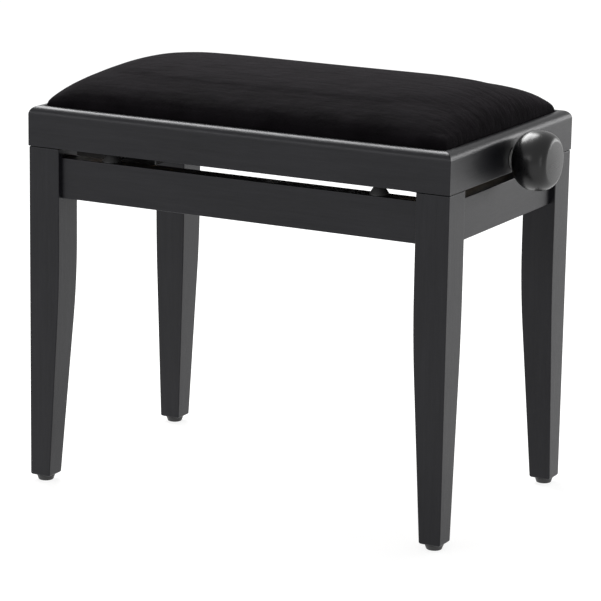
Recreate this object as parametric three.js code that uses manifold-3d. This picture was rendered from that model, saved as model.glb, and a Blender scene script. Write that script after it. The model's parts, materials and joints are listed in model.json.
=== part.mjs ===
// Height-adjustable piano bench. Four tapered legs and their aprons carry a mitred seat frame with a
// padded top. A knob turns a threaded spindle, which pulls two scissor linkages together and lifts
// the seat frame. Millimetres, +Z up, +X towards the knob, -Y towards the front.
import * as THREE from 'three';
import { mergeVertices } from 'three/addons/utils/BufferGeometryUtils.js';
import Module from 'manifold-3d';

const wasm = await Module();
wasm.setup();

// ---- driving dimensions -------------------------------------------------------------------------
const gap = 0.3; // between pieces that touch
const runningClearance = 0.4; // around a pin that turns in a hole
const cutOver = 1; // how far a cutting tool runs past the faces that it opens

// seat frame
const seatLength = 555;
const seatDepth = 335.6;
const seatRailHeight = 47.8;
const seatRailThickness = 23;
const rimWidth = 13.5; // top of the rail that shows around the pad
const edgeRound = 10; // round-over of the outer top edge
const ledgeHeight = 29.3; // from the rail's underside to the ledge that the seat board rests on
const boardThickness = 8;
const coverThickness = 1.5;
const coverFit = 0.5; // between the cover's sides and the rails
const padCrown = 44; // crown of the pad above the rails
const borderDrop = 1; // the pad's border below the top of the rails
const padEndFullness = 8.6; // how far the pad stays full towards the two ends
const padSideFullness = 2.9; // the same towards the front and the back
const padEdgeRise = 0.48; // how steeply the pad rises from its border

// legs, glides and aprons
const legTop = 413.7;
const legSize = 41.5;
const legFootSize = 27;
const legInset = 0.6; // leg faces in from the seat frame's faces
const taperTop = 250; // below this height the two inner faces close in
const taperEase = 100; // length over which the taper starts
const glideHeight = 7;
const glideTopRadius = 11.3;
const glideRadius = 9.4; // just above the rounded foot
const glideStemRadius = 2.5;
const glideStemLength = 14;
const glideFootRadius = 7; // flat underside
const glideFootRound = 2; // height of the rounded foot
const glideFootChamfer = 0.7;
const glideRimChamfer = 0.6;
const restGap = 0.5; // seat frame above the legs at the lowest setting
const apronHeight = 48.7;
const apronThickness = 24;
const apronRecess = 6.2; // apron faces in from the leg faces
const apronDrop = 11; // apron tops below the leg tops

// corner blocks and leg bolts
const blockThickness = 14;
const blockHeight = 24;
const blockRise = 4; // above the apron's lower edge
const boltRadius = 4;
const boltReach = 22; // length of the bolt inside the leg
const washerRadius = 10;
const washerThickness = 1.6;
const nutRadius = 7.5;
const nutHeight = 6.5;
const boltTail = 4; // bolt end past the nut
const weld = 0.1; // how far joined lengths of one piece run into each other

// rubber buffers on the front and rear aprons
const bufferFootRadius = 11.5;
const bufferTopRadius = 5.5;
const bufferBrim = 1.5; // height of the straight foot
const bufferTopRound = 1;
const bufferFromKnobEnd = 96.5;
const bufferFromFarEnd = 105.5;

// scissor linkage
const liftStroke = 100;
const pivotRise = 24; // upper pivots above the lower pivots at the lowest setting
const pivotAboveApron = 4; // lower pivots above the apron tops
const fixedPivotFromLegs = 15.4; // fixed pivots in from the legs at the knob end
const slidingPivotFromLegs = 49.4; // sliding pivots in from the far legs, at the lowest setting
const armHeight = 16;
const armThickness = 4;
const armSpacing = 1.5; // washer space between neighbouring arms and rails
const rodRadius = 5;
const rodOverhang = 4; // rod ends past the last plate
const openPivotClearance = 1.3; // slack of the centre holes, the slots and the spindle nut
const slotSpare = 2; // slot length past each end of the travel

// pressed steel rails that carry the linkage
const railSheet = 3;
const lowerRailReach = 32; // flange depth from the apron to the pivot ears
const lowerRailLipDrop = 15; // flange below the apron top
const lowerRailHeight = 22;
const earHalfWidth = 11;
const slottedEarTail = 16; // slotted ear past the end of its slot, at full height
const upperRailHeight = 22;
const upperRailWidth = 24;
const upperRailEndSpare = 22; // rail length past the pivots
const railScrewX = 140;

// spindle and knob
const spindleRadius = 7;
const spindleOverrun = 24; // spindle length past the nut at the lowest setting
const nutBlockLength = 26;
const nutBlockWidth = 30;
const nutBlockWall = 1.7; // above and below the bore
const bearingPlateHalfWidth = 25;
const bearingPlateThickness = 3;
const bearingPlateRise = 1.5; // above the rail's underside
const collarRadius = 12;
const collarLength = 10;
const thrustWasherRadius = 13;
const thrustWasherThickness = 4;
const railBoreClearance = 2;
const knobRadius = 34.9;
const knobFaceRadius = 23;
const knobFaceRound = 21; // axial depth of the rounded front shoulder
const knobBackRound = 24; // axial depth of the rounded back shoulder
const knobNeckRadius = 11;
const knobLength = 48.3;
const knobBoreDepth = 30;
const knobFaceDome = 1; // crown of the end face

// screws
const screwHeadRadius = 4.5;
const screwHeadHeight = 2.6;
const screwShankRadius = 2.2;
const screwLength = 14;
const boardScrewLength = 6;
const screwCrownRadius = 3.1; // flat top of the head
const screwRimHeight = 1;
const screwPointLength = 2;
const screwPointRadius = 0.4;
const recessWidth = 0.9; // cross recess
const recessReach = 2.6;
const recessDepth = 1.4;

// ---- places worked out from them ----------------------------------------------------------------
const halfLength = seatLength / 2;
const halfDepth = seatDepth / 2;
const legFaceX = halfLength - legInset;
const legFaceY = halfDepth - legInset;
const apronTop = legTop - apronDrop;
const apronBottom = apronTop - apronHeight;
const apronInnerX = legFaceX - apronRecess - apronThickness;
const apronInnerY = legFaceY - apronRecess - apronThickness;

const seatBottom = legTop + restGap;
const seatTop = seatBottom + seatRailHeight;
const boardBottom = seatBottom + ledgeHeight + gap;
const boardTop = boardBottom + boardThickness;
const pocketX = halfLength - rimWidth;
const pocketY = halfDepth - rimWidth;
const railInnerX = halfLength - seatRailThickness;
const railInnerY = halfDepth - seatRailThickness;

const lowerPivotZ = apronTop + pivotAboveApron;
const upperPivotZ = lowerPivotZ + pivotRise;
const legInnerX = legFaceX - legSize;
const fixedPivotX = legInnerX - fixedPivotFromLegs;
const slidingPivotX = slidingPivotFromLegs - legInnerX;
const armLength = Math.hypot(fixedPivotX - slidingPivotX, pivotRise);
const restAngle = Math.asin(pivotRise / armLength);
const raisedAngle = Math.asin((pivotRise + liftStroke) / armLength);
const nutTravel = armLength * (Math.cos(restAngle) - Math.cos(raisedAngle));

const earOuterY = apronInnerY - gap - lowerRailReach + railSheet;
const earInnerY = earOuterY - railSheet;
const outerArmY = earInnerY - gap - armThickness / 2;
const innerArmY = outerArmY - armThickness - armSpacing;
const upperFlangeOuterY = innerArmY - armThickness / 2 - gap;
const upperFlangeInnerY = upperFlangeOuterY - railSheet;

const thrustWasherX = halfLength + gap;
const knobBackX = thrustWasherX + thrustWasherThickness + gap;
const knobEndX = knobBackX + knobLength;

// The bench stands with the middle of its whole footprint, knob included, over the origin.
const bench = new THREE.Group();
bench.position.x = -(knobEndX - halfLength) / 2;

// ---- finishes -----------------------------------------------------------------------------------
const finishes = {
  lacquer: { color: 0x2b2b2d, roughness: 0.42, metalness: 0 },
  velvet: { color: 0x141215, roughness: 1, metalness: 0 },
  foam: { color: 0xd9d2b4, roughness: 1, metalness: 0 },
  plywood: { color: 0xb99768, roughness: 0.8, metalness: 0 },
  beech: { color: 0xa9825a, roughness: 0.75, metalness: 0 },
  blackSteel: { color: 0x202123, roughness: 0.5, metalness: 0.6 },
  zincSteel: { color: 0x9a9b9c, roughness: 0.35, metalness: 0.9 },
  plastic: { color: 0x1d1d1f, roughness: 0.35, metalness: 0 },
  rubber: { color: 0x18181a, roughness: 0.75, metalness: 0 },
};

function addPart(name, finish, geometry) {
  const part = new THREE.Mesh(geometry, new THREE.MeshStandardMaterial(finishes[finish]));
  part.name = name;
  bench.add(part);
  return part;
}

// ---- cutting and joining ------------------------------------------------------------------------
function toSolid(geometry) {
  const bare = geometry.clone();
  bare.deleteAttribute('normal');
  bare.deleteAttribute('uv');
  const merged = mergeVertices(bare, 1e-4);
  return new wasm.Manifold(new wasm.Mesh({
    numProp: 3,
    vertProperties: new Float32Array(merged.attributes.position.array),
    triVerts: new Uint32Array(merged.index.array),
  }));
}

function toGeometry(solid) {
  const mesh = solid.getMesh();
  const geometry = new THREE.BufferGeometry();
  geometry.setAttribute('position', new THREE.BufferAttribute(mesh.vertProperties, 3));
  geometry.setIndex(new THREE.BufferAttribute(mesh.triVerts, 1));
  return geometry;
}

function cut(body, ...tools) {
  let solid = toSolid(body);
  for (const tool of tools) {
    solid = solid.subtract(toSolid(tool));
  }
  return toGeometry(solid);
}

function join(...pieces) {
  let solid = toSolid(pieces[0]);
  for (const piece of pieces.slice(1)) {
    solid = solid.add(toSolid(piece));
  }
  return toGeometry(solid);
}

// ---- simple shapes ------------------------------------------------------------------------------
// A block between two corners.
function block(x0, x1, y0, y1, z0, z1) {
  const box = new THREE.BoxGeometry(Math.abs(x1 - x0), Math.abs(y1 - y0), Math.abs(z1 - z0));
  return box.translate((x0 + x1) / 2, (y0 + y1) / 2, (z0 + z1) / 2);
}

function rodAlongX(radius, x0, x1, z, sides = 32) {
  const rod = new THREE.CylinderGeometry(radius, radius, x1 - x0, sides).rotateZ(Math.PI / 2);
  return rod.translate((x0 + x1) / 2, 0, z);
}

function rodAlongY(radius, x, y0, y1, z, sides = 20) {
  const rod = new THREE.CylinderGeometry(radius, radius, Math.abs(y1 - y0), sides);
  return rod.translate(x, (y0 + y1) / 2, z);
}

function rodAlongZ(radius, x, y, z0, z1, sides = 20) {
  const rod = new THREE.CylinderGeometry(radius, radius, z1 - z0, sides).rotateX(Math.PI / 2);
  return rod.translate(x, y, (z0 + z1) / 2);
}

// A solid turned about +Z from [radius, height] points.
function turned(profile, sides = 16) {
  const points = profile.map(([radius, height]) => new THREE.Vector2(radius, height));
  return new THREE.LatheGeometry(points, sides).rotateX(Math.PI / 2);
}

// An outline in X and Z, given thickness along Y between y0 and y1.
function plateXZ(outline, y0, y1, curveSegments = 6) {
  const depth = Math.abs(y1 - y0);
  const plate = new THREE.ExtrudeGeometry(outline, { depth, bevelEnabled: false, curveSegments });
  return plate.rotateX(Math.PI / 2).translate(0, Math.max(y0, y1), 0);
}

// ---- legs and what is fixed to them -------------------------------------------------------------
const corners = [
  { name: 'front_left', sideX: -1, sideY: -1 },
  { name: 'front_right', sideX: 1, sideY: -1 },
  { name: 'rear_left', sideX: -1, sideY: 1 },
  { name: 'rear_right', sideX: 1, sideY: 1 },
];

// Turns a piece made for the rear right corner round to another corner. A piece that is the same
// on both sides of its diagonal comes out right for every corner.
function toCorner(geometry, { sideX, sideY }) {
  const quarterTurns = { '1,1': 0, '-1,1': 1, '-1,-1': 2, '1,-1': 3 }[`${sideX},${sideY}`];
  return geometry.rotateZ(quarterTurns * Math.PI / 2).translate(sideX * legFaceX, sideY * legFaceY, 0);
}

// Side view of a leg: x runs from the outer face inwards.
function legOutline() {
  const outline = new THREE.Shape();
  outline.moveTo(0, glideHeight);
  outline.lineTo(legFootSize, glideHeight);
  const slope = (legSize - legFootSize) / (taperTop - glideHeight);
  outline.lineTo(legSize - slope * taperEase / 2, taperTop - taperEase / 2);
  outline.quadraticCurveTo(legSize, taperTop, legSize, taperTop + taperEase / 2);
  outline.lineTo(legSize, legTop);
  outline.lineTo(0, legTop);
  return outline;
}

// A line on the leg's diagonal, from one distance to another in from the outer corner.
function rodAlongDiagonal(radius, from, to, z, sides = 20) {
  const rod = new THREE.CylinderGeometry(radius, radius, to - from, sides).rotateZ(Math.PI / 2);
  rod.translate(-(from + to) / 2, 0, 0).rotateZ(Math.PI / 4);
  return rod.translate(0, 0, z);
}

const boltZ = apronBottom + blockRise + blockHeight / 2;
const legCornerDiagonal = legSize * Math.SQRT2; // outer corner of a leg to its inner corner
const blockOuterDiagonal = legCornerDiagonal + gap;
const blockInnerDiagonal = blockOuterDiagonal + blockThickness;
const boltHoleRadius = boltRadius + gap;

// Made for the rear right corner with the leg's outer corner on the Z axis.
function legGeometry() {
  const across = plateXZ(legOutline(), 0, legSize).rotateZ(Math.PI);
  const along = plateXZ(legOutline(), 0, legSize).rotateZ(-Math.PI / 2);
  along.translate(-legSize, 0, 0);
  const tapered = toSolid(across).intersect(toSolid(along));
  const middle = legFootSize / 2;
  const stemHole = rodAlongZ(
    glideStemRadius + gap, -middle, -middle, glideHeight - cutOver, glideHeight + glideStemLength + gap);
  const boltHole = rodAlongDiagonal(
    boltHoleRadius, legCornerDiagonal - boltReach - gap, legCornerDiagonal + legSize, boltZ);
  return cut(toGeometry(tapered), stemHole, boltHole);
}

function glideGeometry() {
  const top = glideHeight - gap;
  const glide = turned([
    [0, 0],
    [glideFootRadius, 0],
    [glideRadius - glideFootChamfer, glideFootChamfer],
    [glideRadius, glideFootRound],
    [glideTopRadius, top - glideRimChamfer],
    [glideTopRadius - glideRimChamfer, top],
    [glideStemRadius, top],
    [glideStemRadius, top + glideStemLength],
    [0, top + glideStemLength],
  ]);
  return glide.translate(-legFootSize / 2, -legFootSize / 2, 0);
}

// A bar across the corner, mitred to sit flat against both aprons, with a hole for the leg bolt.
function cornerBlockGeometry() {
  const innerX = apronInnerX - legFaceX - gap;
  const innerY = apronInnerY - legFaceY - gap;
  const outer = -blockOuterDiagonal * Math.SQRT2;
  const inner = -blockInnerDiagonal * Math.SQRT2;
  const outline = new THREE.Shape();
  outline.moveTo(innerX, outer - innerX);
  outline.lineTo(outer - innerY, innerY);
  outline.lineTo(inner - innerY, innerY);
  outline.lineTo(innerX, inner - innerX);
  const bar = new THREE.ExtrudeGeometry(outline, { depth: blockHeight, bevelEnabled: false });
  bar.translate(0, 0, boltZ - blockHeight / 2);
  const hole = rodAlongDiagonal(
    boltHoleRadius, blockOuterDiagonal - legSize, blockInnerDiagonal + legSize, boltZ);
  return cut(bar, hole);
}

// Bolt, washer and hexagon nut as one fitted piece.
function legBoltGeometry() {
  const start = legCornerDiagonal - boltReach;
  const washer = blockInnerDiagonal + gap;
  const nut = washer + washerThickness;
  const end = nut + nutHeight + boltTail;
  return join(
    rodAlongDiagonal(boltRadius, start, end, boltZ),
    rodAlongDiagonal(washerRadius, washer, nut + weld, boltZ),
    rodAlongDiagonal(nutRadius, nut, nut + nutHeight, boltZ, 6),
  );
}

for (const corner of corners) {
  addPart(`leg_${corner.name}`, 'lacquer', toCorner(legGeometry(), corner));
  addPart(`glide_${corner.name}`, 'plastic', toCorner(glideGeometry(), corner));
  addPart(`corner_block_${corner.name}`, 'beech', toCorner(cornerBlockGeometry(), corner));
  addPart(`leg_bolt_${corner.name}`, 'zincSteel', toCorner(legBoltGeometry(), corner));
}

// ---- aprons with their screw holes --------------------------------------------------------------
const sides = [{ name: 'front', side: -1 }, { name: 'rear', side: 1 }];
const lowerRailTop = apronTop - lowerRailLipDrop;
const lowerRailBottom = lowerRailTop - lowerRailHeight;
const lowerScrewZ = lowerRailBottom + (lowerRailHeight - railSheet) / 2;
const screwHoleRadius = screwShankRadius + gap;

for (const { name, side } of sides) {
  const reach = legFaceX - legSize - gap;
  const inner = side * apronInnerY;
  const outer = side * (apronInnerY + apronThickness);
  const holes = [-railScrewX, railScrewX].map((x) => rodAlongY(
    screwHoleRadius, x, inner - side * cutOver, inner + side * (screwLength + gap), lowerScrewZ, 16));
  const board = block(-reach, reach, inner, outer, apronBottom, apronTop);
  addPart(`apron_${name}`, 'lacquer', cut(board, ...holes));
}
for (const [name, side] of [['left', -1], ['right', 1]]) {
  const reach = legFaceY - legSize - gap;
  const inner = side * apronInnerX;
  const outer = side * (apronInnerX + apronThickness);
  addPart(`apron_${name}`, 'lacquer', block(inner, outer, -reach, reach, apronBottom, apronTop));
}

// ---- rubber buffers that the seat frame rests on ------------------------------------------------
function bufferGeometry() {
  const height = seatBottom - apronTop - 2 * gap;
  return turned([
    [0, 0],
    [bufferFootRadius, 0],
    [bufferFootRadius, bufferBrim],
    [bufferTopRadius + bufferTopRound, height - bufferTopRound],
    [bufferTopRadius, height],
    [0, height],
  ]);
}

for (const { name, side } of sides) {
  const y = side * (apronInnerY + apronThickness / 2);
  for (const [end, x] of [
    ['left', bufferFromFarEnd - halfLength],
    ['right', halfLength - bufferFromKnobEnd],
  ]) {
    const buffer = bufferGeometry().translate(x, y, apronTop + gap);
    addPart(`rubber_buffer_${name}_${end}`, 'rubber', buffer);
  }
}

// ---- lower rails: pressed steel angles with a pivot ear and a slotted ear -----------------------
// A bar outline with round ends, from one centre to another, tilted by the angle.
function roundEnded(outline, x, z, length, radius, angle) {
  const turn = Math.PI / 2;
  const endX = x + length * Math.cos(angle);
  const endZ = z + length * Math.sin(angle);
  outline.absarc(endX, endZ, radius, angle - turn, angle + turn);
  outline.absarc(x, z, radius, angle + turn, angle + 3 * turn);
  outline.closePath();
  return outline;
}

// Ends of the two sliding rods' travel, measured along the bench.
const slotStartX = slidingPivotX - slotSpare;
const slotEndX = slidingPivotX + nutTravel + slotSpare;

function slotTool(y0, y1, z) {
  const radius = rodRadius + openPivotClearance;
  const outline = roundEnded(new THREE.Shape(), slotStartX, z, slotEndX - slotStartX, radius, 0);
  return plateXZ(outline, y0, y1, 8);
}

// An upright ear with a round top about its hole or slot.
function earGeometry(x0, x1, y0, y1) {
  const outline = new THREE.Shape();
  outline.moveTo(x0 - earHalfWidth, lowerRailTop - railSheet);
  outline.lineTo(x1 + earHalfWidth, lowerRailTop - railSheet);
  outline.absarc(x1, lowerPivotZ, earHalfWidth, 0, Math.PI / 2);
  outline.absarc(x0, lowerPivotZ, earHalfWidth, Math.PI / 2, Math.PI);
  outline.closePath();
  return plateXZ(outline, y0, y1);
}

function lowerRailGeometry(side) {
  const back = side * (apronInnerY - gap);
  const earOuter = side * earOuterY;
  const earInner = side * earInnerY;
  const upright = legFaceX - 2 * blockInnerDiagonal / Math.SQRT2 + (legFaceY - apronInnerY) - 2 * gap;
  const flangeStart = slotStartX - earHalfWidth;
  const flangeEnd = fixedPivotX + earHalfWidth;
  const flangeBottom = lowerRailTop - railSheet;
  const angle = join(
    block(-upright, upright, back, back - side * railSheet, lowerRailBottom, lowerRailTop),
    block(flangeStart, flangeEnd, back, earInner, flangeBottom, lowerRailTop),
    earGeometry(slotStartX, slotEndX + slottedEarTail, earOuter, earInner),
    earGeometry(fixedPivotX, fixedPivotX, earOuter, earInner),
  );
  const beyond = earOuter + side * cutOver;
  const before = earInner - side * cutOver;
  const pivotHole = rodRadius + gap;
  const screwHoles = [-railScrewX, railScrewX].map((x) => rodAlongY(
    screwHoleRadius, x, back + side * cutOver, back - side * (railSheet + cutOver), lowerScrewZ, 16));
  return cut(
    angle,
    slotTool(before, beyond, lowerPivotZ),
    rodAlongY(pivotHole, fixedPivotX, before, beyond, lowerPivotZ),
    ...screwHoles,
  );
}

for (const { name, side } of sides) {
  addPart(`lower_rail_${name}`, 'blackSteel', lowerRailGeometry(side));
}

// Pan-head screw with a cross recess, its head downwards and its tip at z = length.
function screwGeometry(length) {
  const body = turned([
    [0, -screwHeadHeight],
    [screwCrownRadius, -screwHeadHeight],
    [screwHeadRadius, -screwRimHeight],
    [screwHeadRadius, 0],
    [screwShankRadius, 0],
    [screwShankRadius, length - screwPointLength],
    [screwPointRadius, length],
    [0, length],
  ], 12);
  const half = recessWidth / 2;
  const bottom = -screwHeadHeight - cutOver;
  const top = recessDepth - screwHeadHeight;
  return cut(
    body,
    block(-recessReach, recessReach, -half, half, bottom, top),
    block(-half, half, -recessReach, recessReach, bottom, top),
  );
}

for (const { name, side } of sides) {
  for (const [end, x] of [['left', -railScrewX], ['right', railScrewX]]) {
    const screw = screwGeometry(screwLength + railSheet).rotateX(-side * Math.PI / 2);
    screw.translate(x, side * (apronInnerY - 2 * gap - railSheet), lowerScrewZ);
    addPart(`lower_rail_screw_${name}_${end}`, 'zincSteel', screw);
  }
}

const fixedRodEnd = earOuterY + rodOverhang;
addPart('fixed_lower_rod', 'zincSteel',
  rodAlongY(rodRadius, fixedPivotX, -fixedRodEnd, fixedRodEnd, lowerPivotZ));

// ---- seat frame: four rails mitred at the corners -----------------------------------------------
// Rail section: x is the distance in from the outer face, y the height.
function railSection() {
  const section = new THREE.Shape();
  section.moveTo(0, seatBottom);
  section.lineTo(seatRailThickness, seatBottom);
  section.lineTo(seatRailThickness, seatBottom + ledgeHeight);
  section.lineTo(rimWidth, seatBottom + ledgeHeight);
  section.lineTo(rimWidth, seatTop);
  section.lineTo(edgeRound, seatTop);
  section.absarc(edgeRound, seatTop - edgeRound, edgeRound, Math.PI / 2, Math.PI);
  section.closePath();
  return section;
}

// A rail of the front rail's kind, its outer face at y = -offset, mitred at both ends.
function mitredRail(halfSpan, offset) {
  const options = { depth: 2 * halfSpan, bevelEnabled: false, curveSegments: 6 };
  const rail = new THREE.ExtrudeGeometry(railSection(), options);
  const points = rail.attributes.position;
  for (let i = 0; i < points.count; i += 1) {
    const inset = points.getX(i);
    const height = points.getY(i);
    const end = points.getZ(i) > halfSpan ? 1 : -1;
    points.setXYZ(i, end * (halfSpan - inset - gap / 2), inset - offset, height);
  }
  return rail;
}

const quarter = Math.PI / 2;
const spindleBore = rodAlongX(
  spindleRadius + railBoreClearance, railInnerX - cutOver, halfLength + cutOver, upperPivotZ);
addPart('seat_rail_front', 'lacquer', mitredRail(halfLength, halfDepth));
addPart('seat_rail_rear', 'lacquer', mitredRail(halfLength, halfDepth).rotateZ(2 * quarter));
addPart('seat_rail_left', 'lacquer', mitredRail(halfDepth, halfLength).rotateZ(-quarter));
const rightRail = mitredRail(halfDepth, halfLength).rotateZ(quarter);
addPart('seat_rail_right', 'lacquer', cut(rightRail, spindleBore));

// ---- seat board, foam pad and cover -------------------------------------------------------------
const coverX = pocketX - coverFit;
const coverY = pocketY - coverFit;
const boardX = coverX - coverThickness - gap;
const boardY = coverY - coverThickness - gap;
const boardScrewDepth = boardScrewLength + gap;
const upperScrewY = upperFlangeInnerY - (upperRailWidth - railSheet) / 2;

const boardScrewHoles = [];
for (const x of [-railScrewX, railScrewX]) {
  for (const y of [-upperScrewY, upperScrewY]) {
    boardScrewHoles.push(
      rodAlongZ(screwHoleRadius, x, y, boardBottom - cutOver, boardBottom + boardScrewDepth, 16));
  }
}
const boardBlank = block(-boardX, boardX, -boardY, boardY, boardBottom, boardTop);
addPart('seat_board', 'plywood', cut(boardBlank, ...boardScrewHoles));

// A domed pad with straight sides up to its border.
function padGeometry(halfX, halfY, bottom, border, crown) {
  const pad = new THREE.BoxGeometry(2, 2, 2, 14, 10, 1);
  const points = pad.attributes.position;
  for (let i = 0; i < points.count; i += 1) {
    const u = Math.sin(points.getX(i) * quarter);
    const v = Math.sin(points.getY(i) * quarter);
    const ends = Math.max(0, 1 - Math.abs(u) ** padEndFullness);
    const flanks = Math.max(0, 1 - Math.abs(v) ** padSideFullness);
    const top = border + (crown - border) * (ends * flanks) ** padEdgeRise;
    points.setXYZ(i, u * halfX, v * halfY, points.getZ(i) > 0 ? top : bottom);
  }
  return pad;
}

const border = seatTop - borderDrop;
const crown = seatTop + padCrown;
const foamInset = coverThickness + gap;
addPart('foam_pad', 'foam', padGeometry(
  coverX - foamInset, coverY - foamInset, boardTop + gap, border - foamInset, crown - foamInset));
addPart('velvet_cover', 'velvet', cut(
  padGeometry(coverX, coverY, boardBottom, border, crown),
  padGeometry(
    coverX - coverThickness, coverY - coverThickness, boardBottom - cutOver,
    border - coverThickness, crown - coverThickness),
));

// ---- upper rails: steel angles under the seat board ---------------------------------------------
const upperRailTop = boardBottom - gap;
const upperRailStart = slidingPivotX - upperRailEndSpare;
const upperRailEnd = fixedPivotX + upperRailEndSpare;

function upperRailGeometry(side) {
  const outer = side * upperFlangeOuterY;
  const inner = side * upperFlangeInnerY;
  const edge = side * (upperFlangeOuterY - upperRailWidth);
  const angle = join(
    block(upperRailStart, upperRailEnd, outer, inner, upperRailTop - upperRailHeight, upperRailTop),
    block(upperRailStart, upperRailEnd, outer, edge, upperRailTop - railSheet, upperRailTop),
  );
  const before = inner - side * cutOver;
  const beyond = outer + side * cutOver;
  const holeBottom = upperRailTop - railSheet - cutOver;
  const screwHoles = [-railScrewX, railScrewX].map((x) => rodAlongZ(
    screwHoleRadius, x, side * upperScrewY, holeBottom, upperRailTop + cutOver, 16));
  return cut(
    angle,
    slotTool(before, beyond, upperPivotZ),
    rodAlongY(rodRadius + gap, fixedPivotX, before, beyond, upperPivotZ),
    ...screwHoles,
  );
}

for (const { name, side } of sides) {
  addPart(`upper_rail_${name}`, 'blackSteel', upperRailGeometry(side));
  for (const [end, x] of [['left', -railScrewX], ['right', railScrewX]]) {
    const screw = screwGeometry(boardScrewLength + railSheet);
    screw.translate(x, side * upperScrewY, upperRailTop - railSheet - gap);
    addPart(`upper_rail_screw_${name}_${end}`, 'zincSteel', screw);
  }
  const pinOuter = innerArmY + armThickness / 2 + gap;
  const pinInner = upperFlangeInnerY - rodOverhang;
  addPart(`upper_pivot_pin_${name}`, 'zincSteel',
    rodAlongY(rodRadius, fixedPivotX, side * pinInner, side * pinOuter, upperPivotZ));
}

// ---- scissor arms -------------------------------------------------------------------------------
// A flat bar from the pivot at the knob end towards the far end, with a hole at each end and in the
// middle. The tilt is the angle of its far end above the horizontal.
function armGeometry(pivotZ, tilt, side, planeY, holeRadii) {
  const direction = Math.PI - tilt;
  const outline = roundEnded(
    new THREE.Shape(), fixedPivotX, pivotZ, armLength, armHeight / 2, direction);
  holeRadii.forEach((radius, i) => {
    const along = armLength * i / (holeRadii.length - 1);
    const hole = new THREE.Path();
    const x = fixedPivotX + along * Math.cos(direction);
    const z = pivotZ + along * Math.sin(direction);
    hole.absarc(x, z, radius, 0, 2 * Math.PI);
    outline.holes.push(hole);
  });
  const middle = side * planeY;
  const half = armThickness / 2;
  return plateXZ(outline, middle - half, middle + half, 8);
}

const turningHole = rodRadius + runningClearance;
const openHole = rodRadius + openPivotClearance;
const middleX = (fixedPivotX + slidingPivotX) / 2;
const middleZ = (lowerPivotZ + upperPivotZ) / 2;

for (const { name, side } of sides) {
  addPart(`outer_arm_${name}`, 'blackSteel', armGeometry(
    lowerPivotZ, restAngle, side, outerArmY, [turningHole, rodRadius + gap, turningHole]));
  addPart(`inner_arm_${name}`, 'blackSteel', armGeometry(
    upperPivotZ, -restAngle, side, innerArmY, [turningHole, openHole, rodRadius + gap]));
  const pinOuter = outerArmY + armThickness / 2;
  const pinInner = innerArmY - armThickness / 2;
  addPart(`centre_pin_${name}`, 'zincSteel',
    rodAlongY(rodRadius, middleX, side * pinInner, side * pinOuter, middleZ));
}

addPart('lower_slide_rod', 'zincSteel',
  rodAlongY(rodRadius, slidingPivotX, -fixedRodEnd, fixedRodEnd, lowerPivotZ));

// ---- spindle nut, with a trunnion on each side --------------------------------------------------
function spindleNutGeometry() {
  const reach = outerArmY + armThickness / 2 + rodOverhang / 2;
  const halfBlock = nutBlockLength / 2;
  const boreRadius = spindleRadius + openPivotClearance;
  const halfHeight = boreRadius + nutBlockWall;
  const body = join(
    block(
      slidingPivotX - halfBlock, slidingPivotX + halfBlock, -nutBlockWidth / 2, nutBlockWidth / 2,
      upperPivotZ - halfHeight, upperPivotZ + halfHeight),
    rodAlongY(rodRadius, slidingPivotX, -reach, reach, upperPivotZ),
  );
  const bore = rodAlongX(
    boreRadius, slidingPivotX - nutBlockLength, slidingPivotX + nutBlockLength, upperPivotZ);
  return cut(body, bore);
}

addPart('spindle_nut', 'zincSteel', spindleNutGeometry());

// ---- spindle, its bearing and the knob ----------------------------------------------------------
const plateX = railInnerX - gap;
const plateInnerX = plateX - bearingPlateThickness;
const plateBore = rodAlongX(
  spindleRadius + runningClearance, plateInnerX - cutOver, plateX + cutOver, upperPivotZ);
addPart('spindle_bearing_plate', 'blackSteel', cut(
  block(
    plateInnerX, plateX, -bearingPlateHalfWidth, bearingPlateHalfWidth,
    seatBottom + bearingPlateRise, boardBottom - gap),
  plateBore,
));

const collarEnd = plateInnerX - gap;
addPart('spindle_collar', 'zincSteel', cut(
  rodAlongX(collarRadius, collarEnd - collarLength, collarEnd, upperPivotZ),
  rodAlongX(
    spindleRadius + gap, collarEnd - collarLength - cutOver, collarEnd + cutOver, upperPivotZ),
));
const thrustWasherEnd = thrustWasherX + thrustWasherThickness;
addPart('thrust_washer', 'zincSteel', cut(
  rodAlongX(thrustWasherRadius, thrustWasherX, thrustWasherEnd, upperPivotZ),
  rodAlongX(spindleRadius + gap, thrustWasherX - cutOver, thrustWasherEnd + cutOver, upperPivotZ),
));

const spindleStart = slidingPivotX - spindleOverrun;
const spindleEnd = knobBackX + knobBoreDepth;
addPart('threaded_spindle', 'zincSteel',
  rodAlongX(spindleRadius, spindleStart, spindleEnd, upperPivotZ));

// Quarter of an ellipse from [radius, height] a to b, round at the corner outside them.
function shoulder(radiusA, heightA, radiusB, heightB, startsUpright) {
  const steps = 5;
  const points = [];
  for (let i = 0; i <= steps; i += 1) {
    const angle = quarter * i / steps;
    const rise = startsUpright ? 1 - Math.cos(angle) : Math.sin(angle);
    const run = startsUpright ? Math.sin(angle) : 1 - Math.cos(angle);
    points.push([radiusA + (radiusB - radiusA) * run, heightA + (heightB - heightA) * rise]);
  }
  return points;
}

function knobGeometry() {
  const knob = turned([
    [0, 0],
    ...shoulder(knobNeckRadius, 0, knobRadius, knobBackRound, true),
    ...shoulder(
      knobRadius, knobLength - knobFaceRound, knobFaceRadius, knobLength - knobFaceDome, false),
    [0, knobLength],
  ], 32);
  knob.rotateY(quarter).translate(knobBackX, 0, upperPivotZ);
  return cut(knob, rodAlongX(
    spindleRadius + gap, knobBackX - cutOver, knobBackX + knobBoreDepth + gap, upperPivotZ));
}

addPart('knob', 'plastic', knobGeometry());

export default bench;
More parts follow.
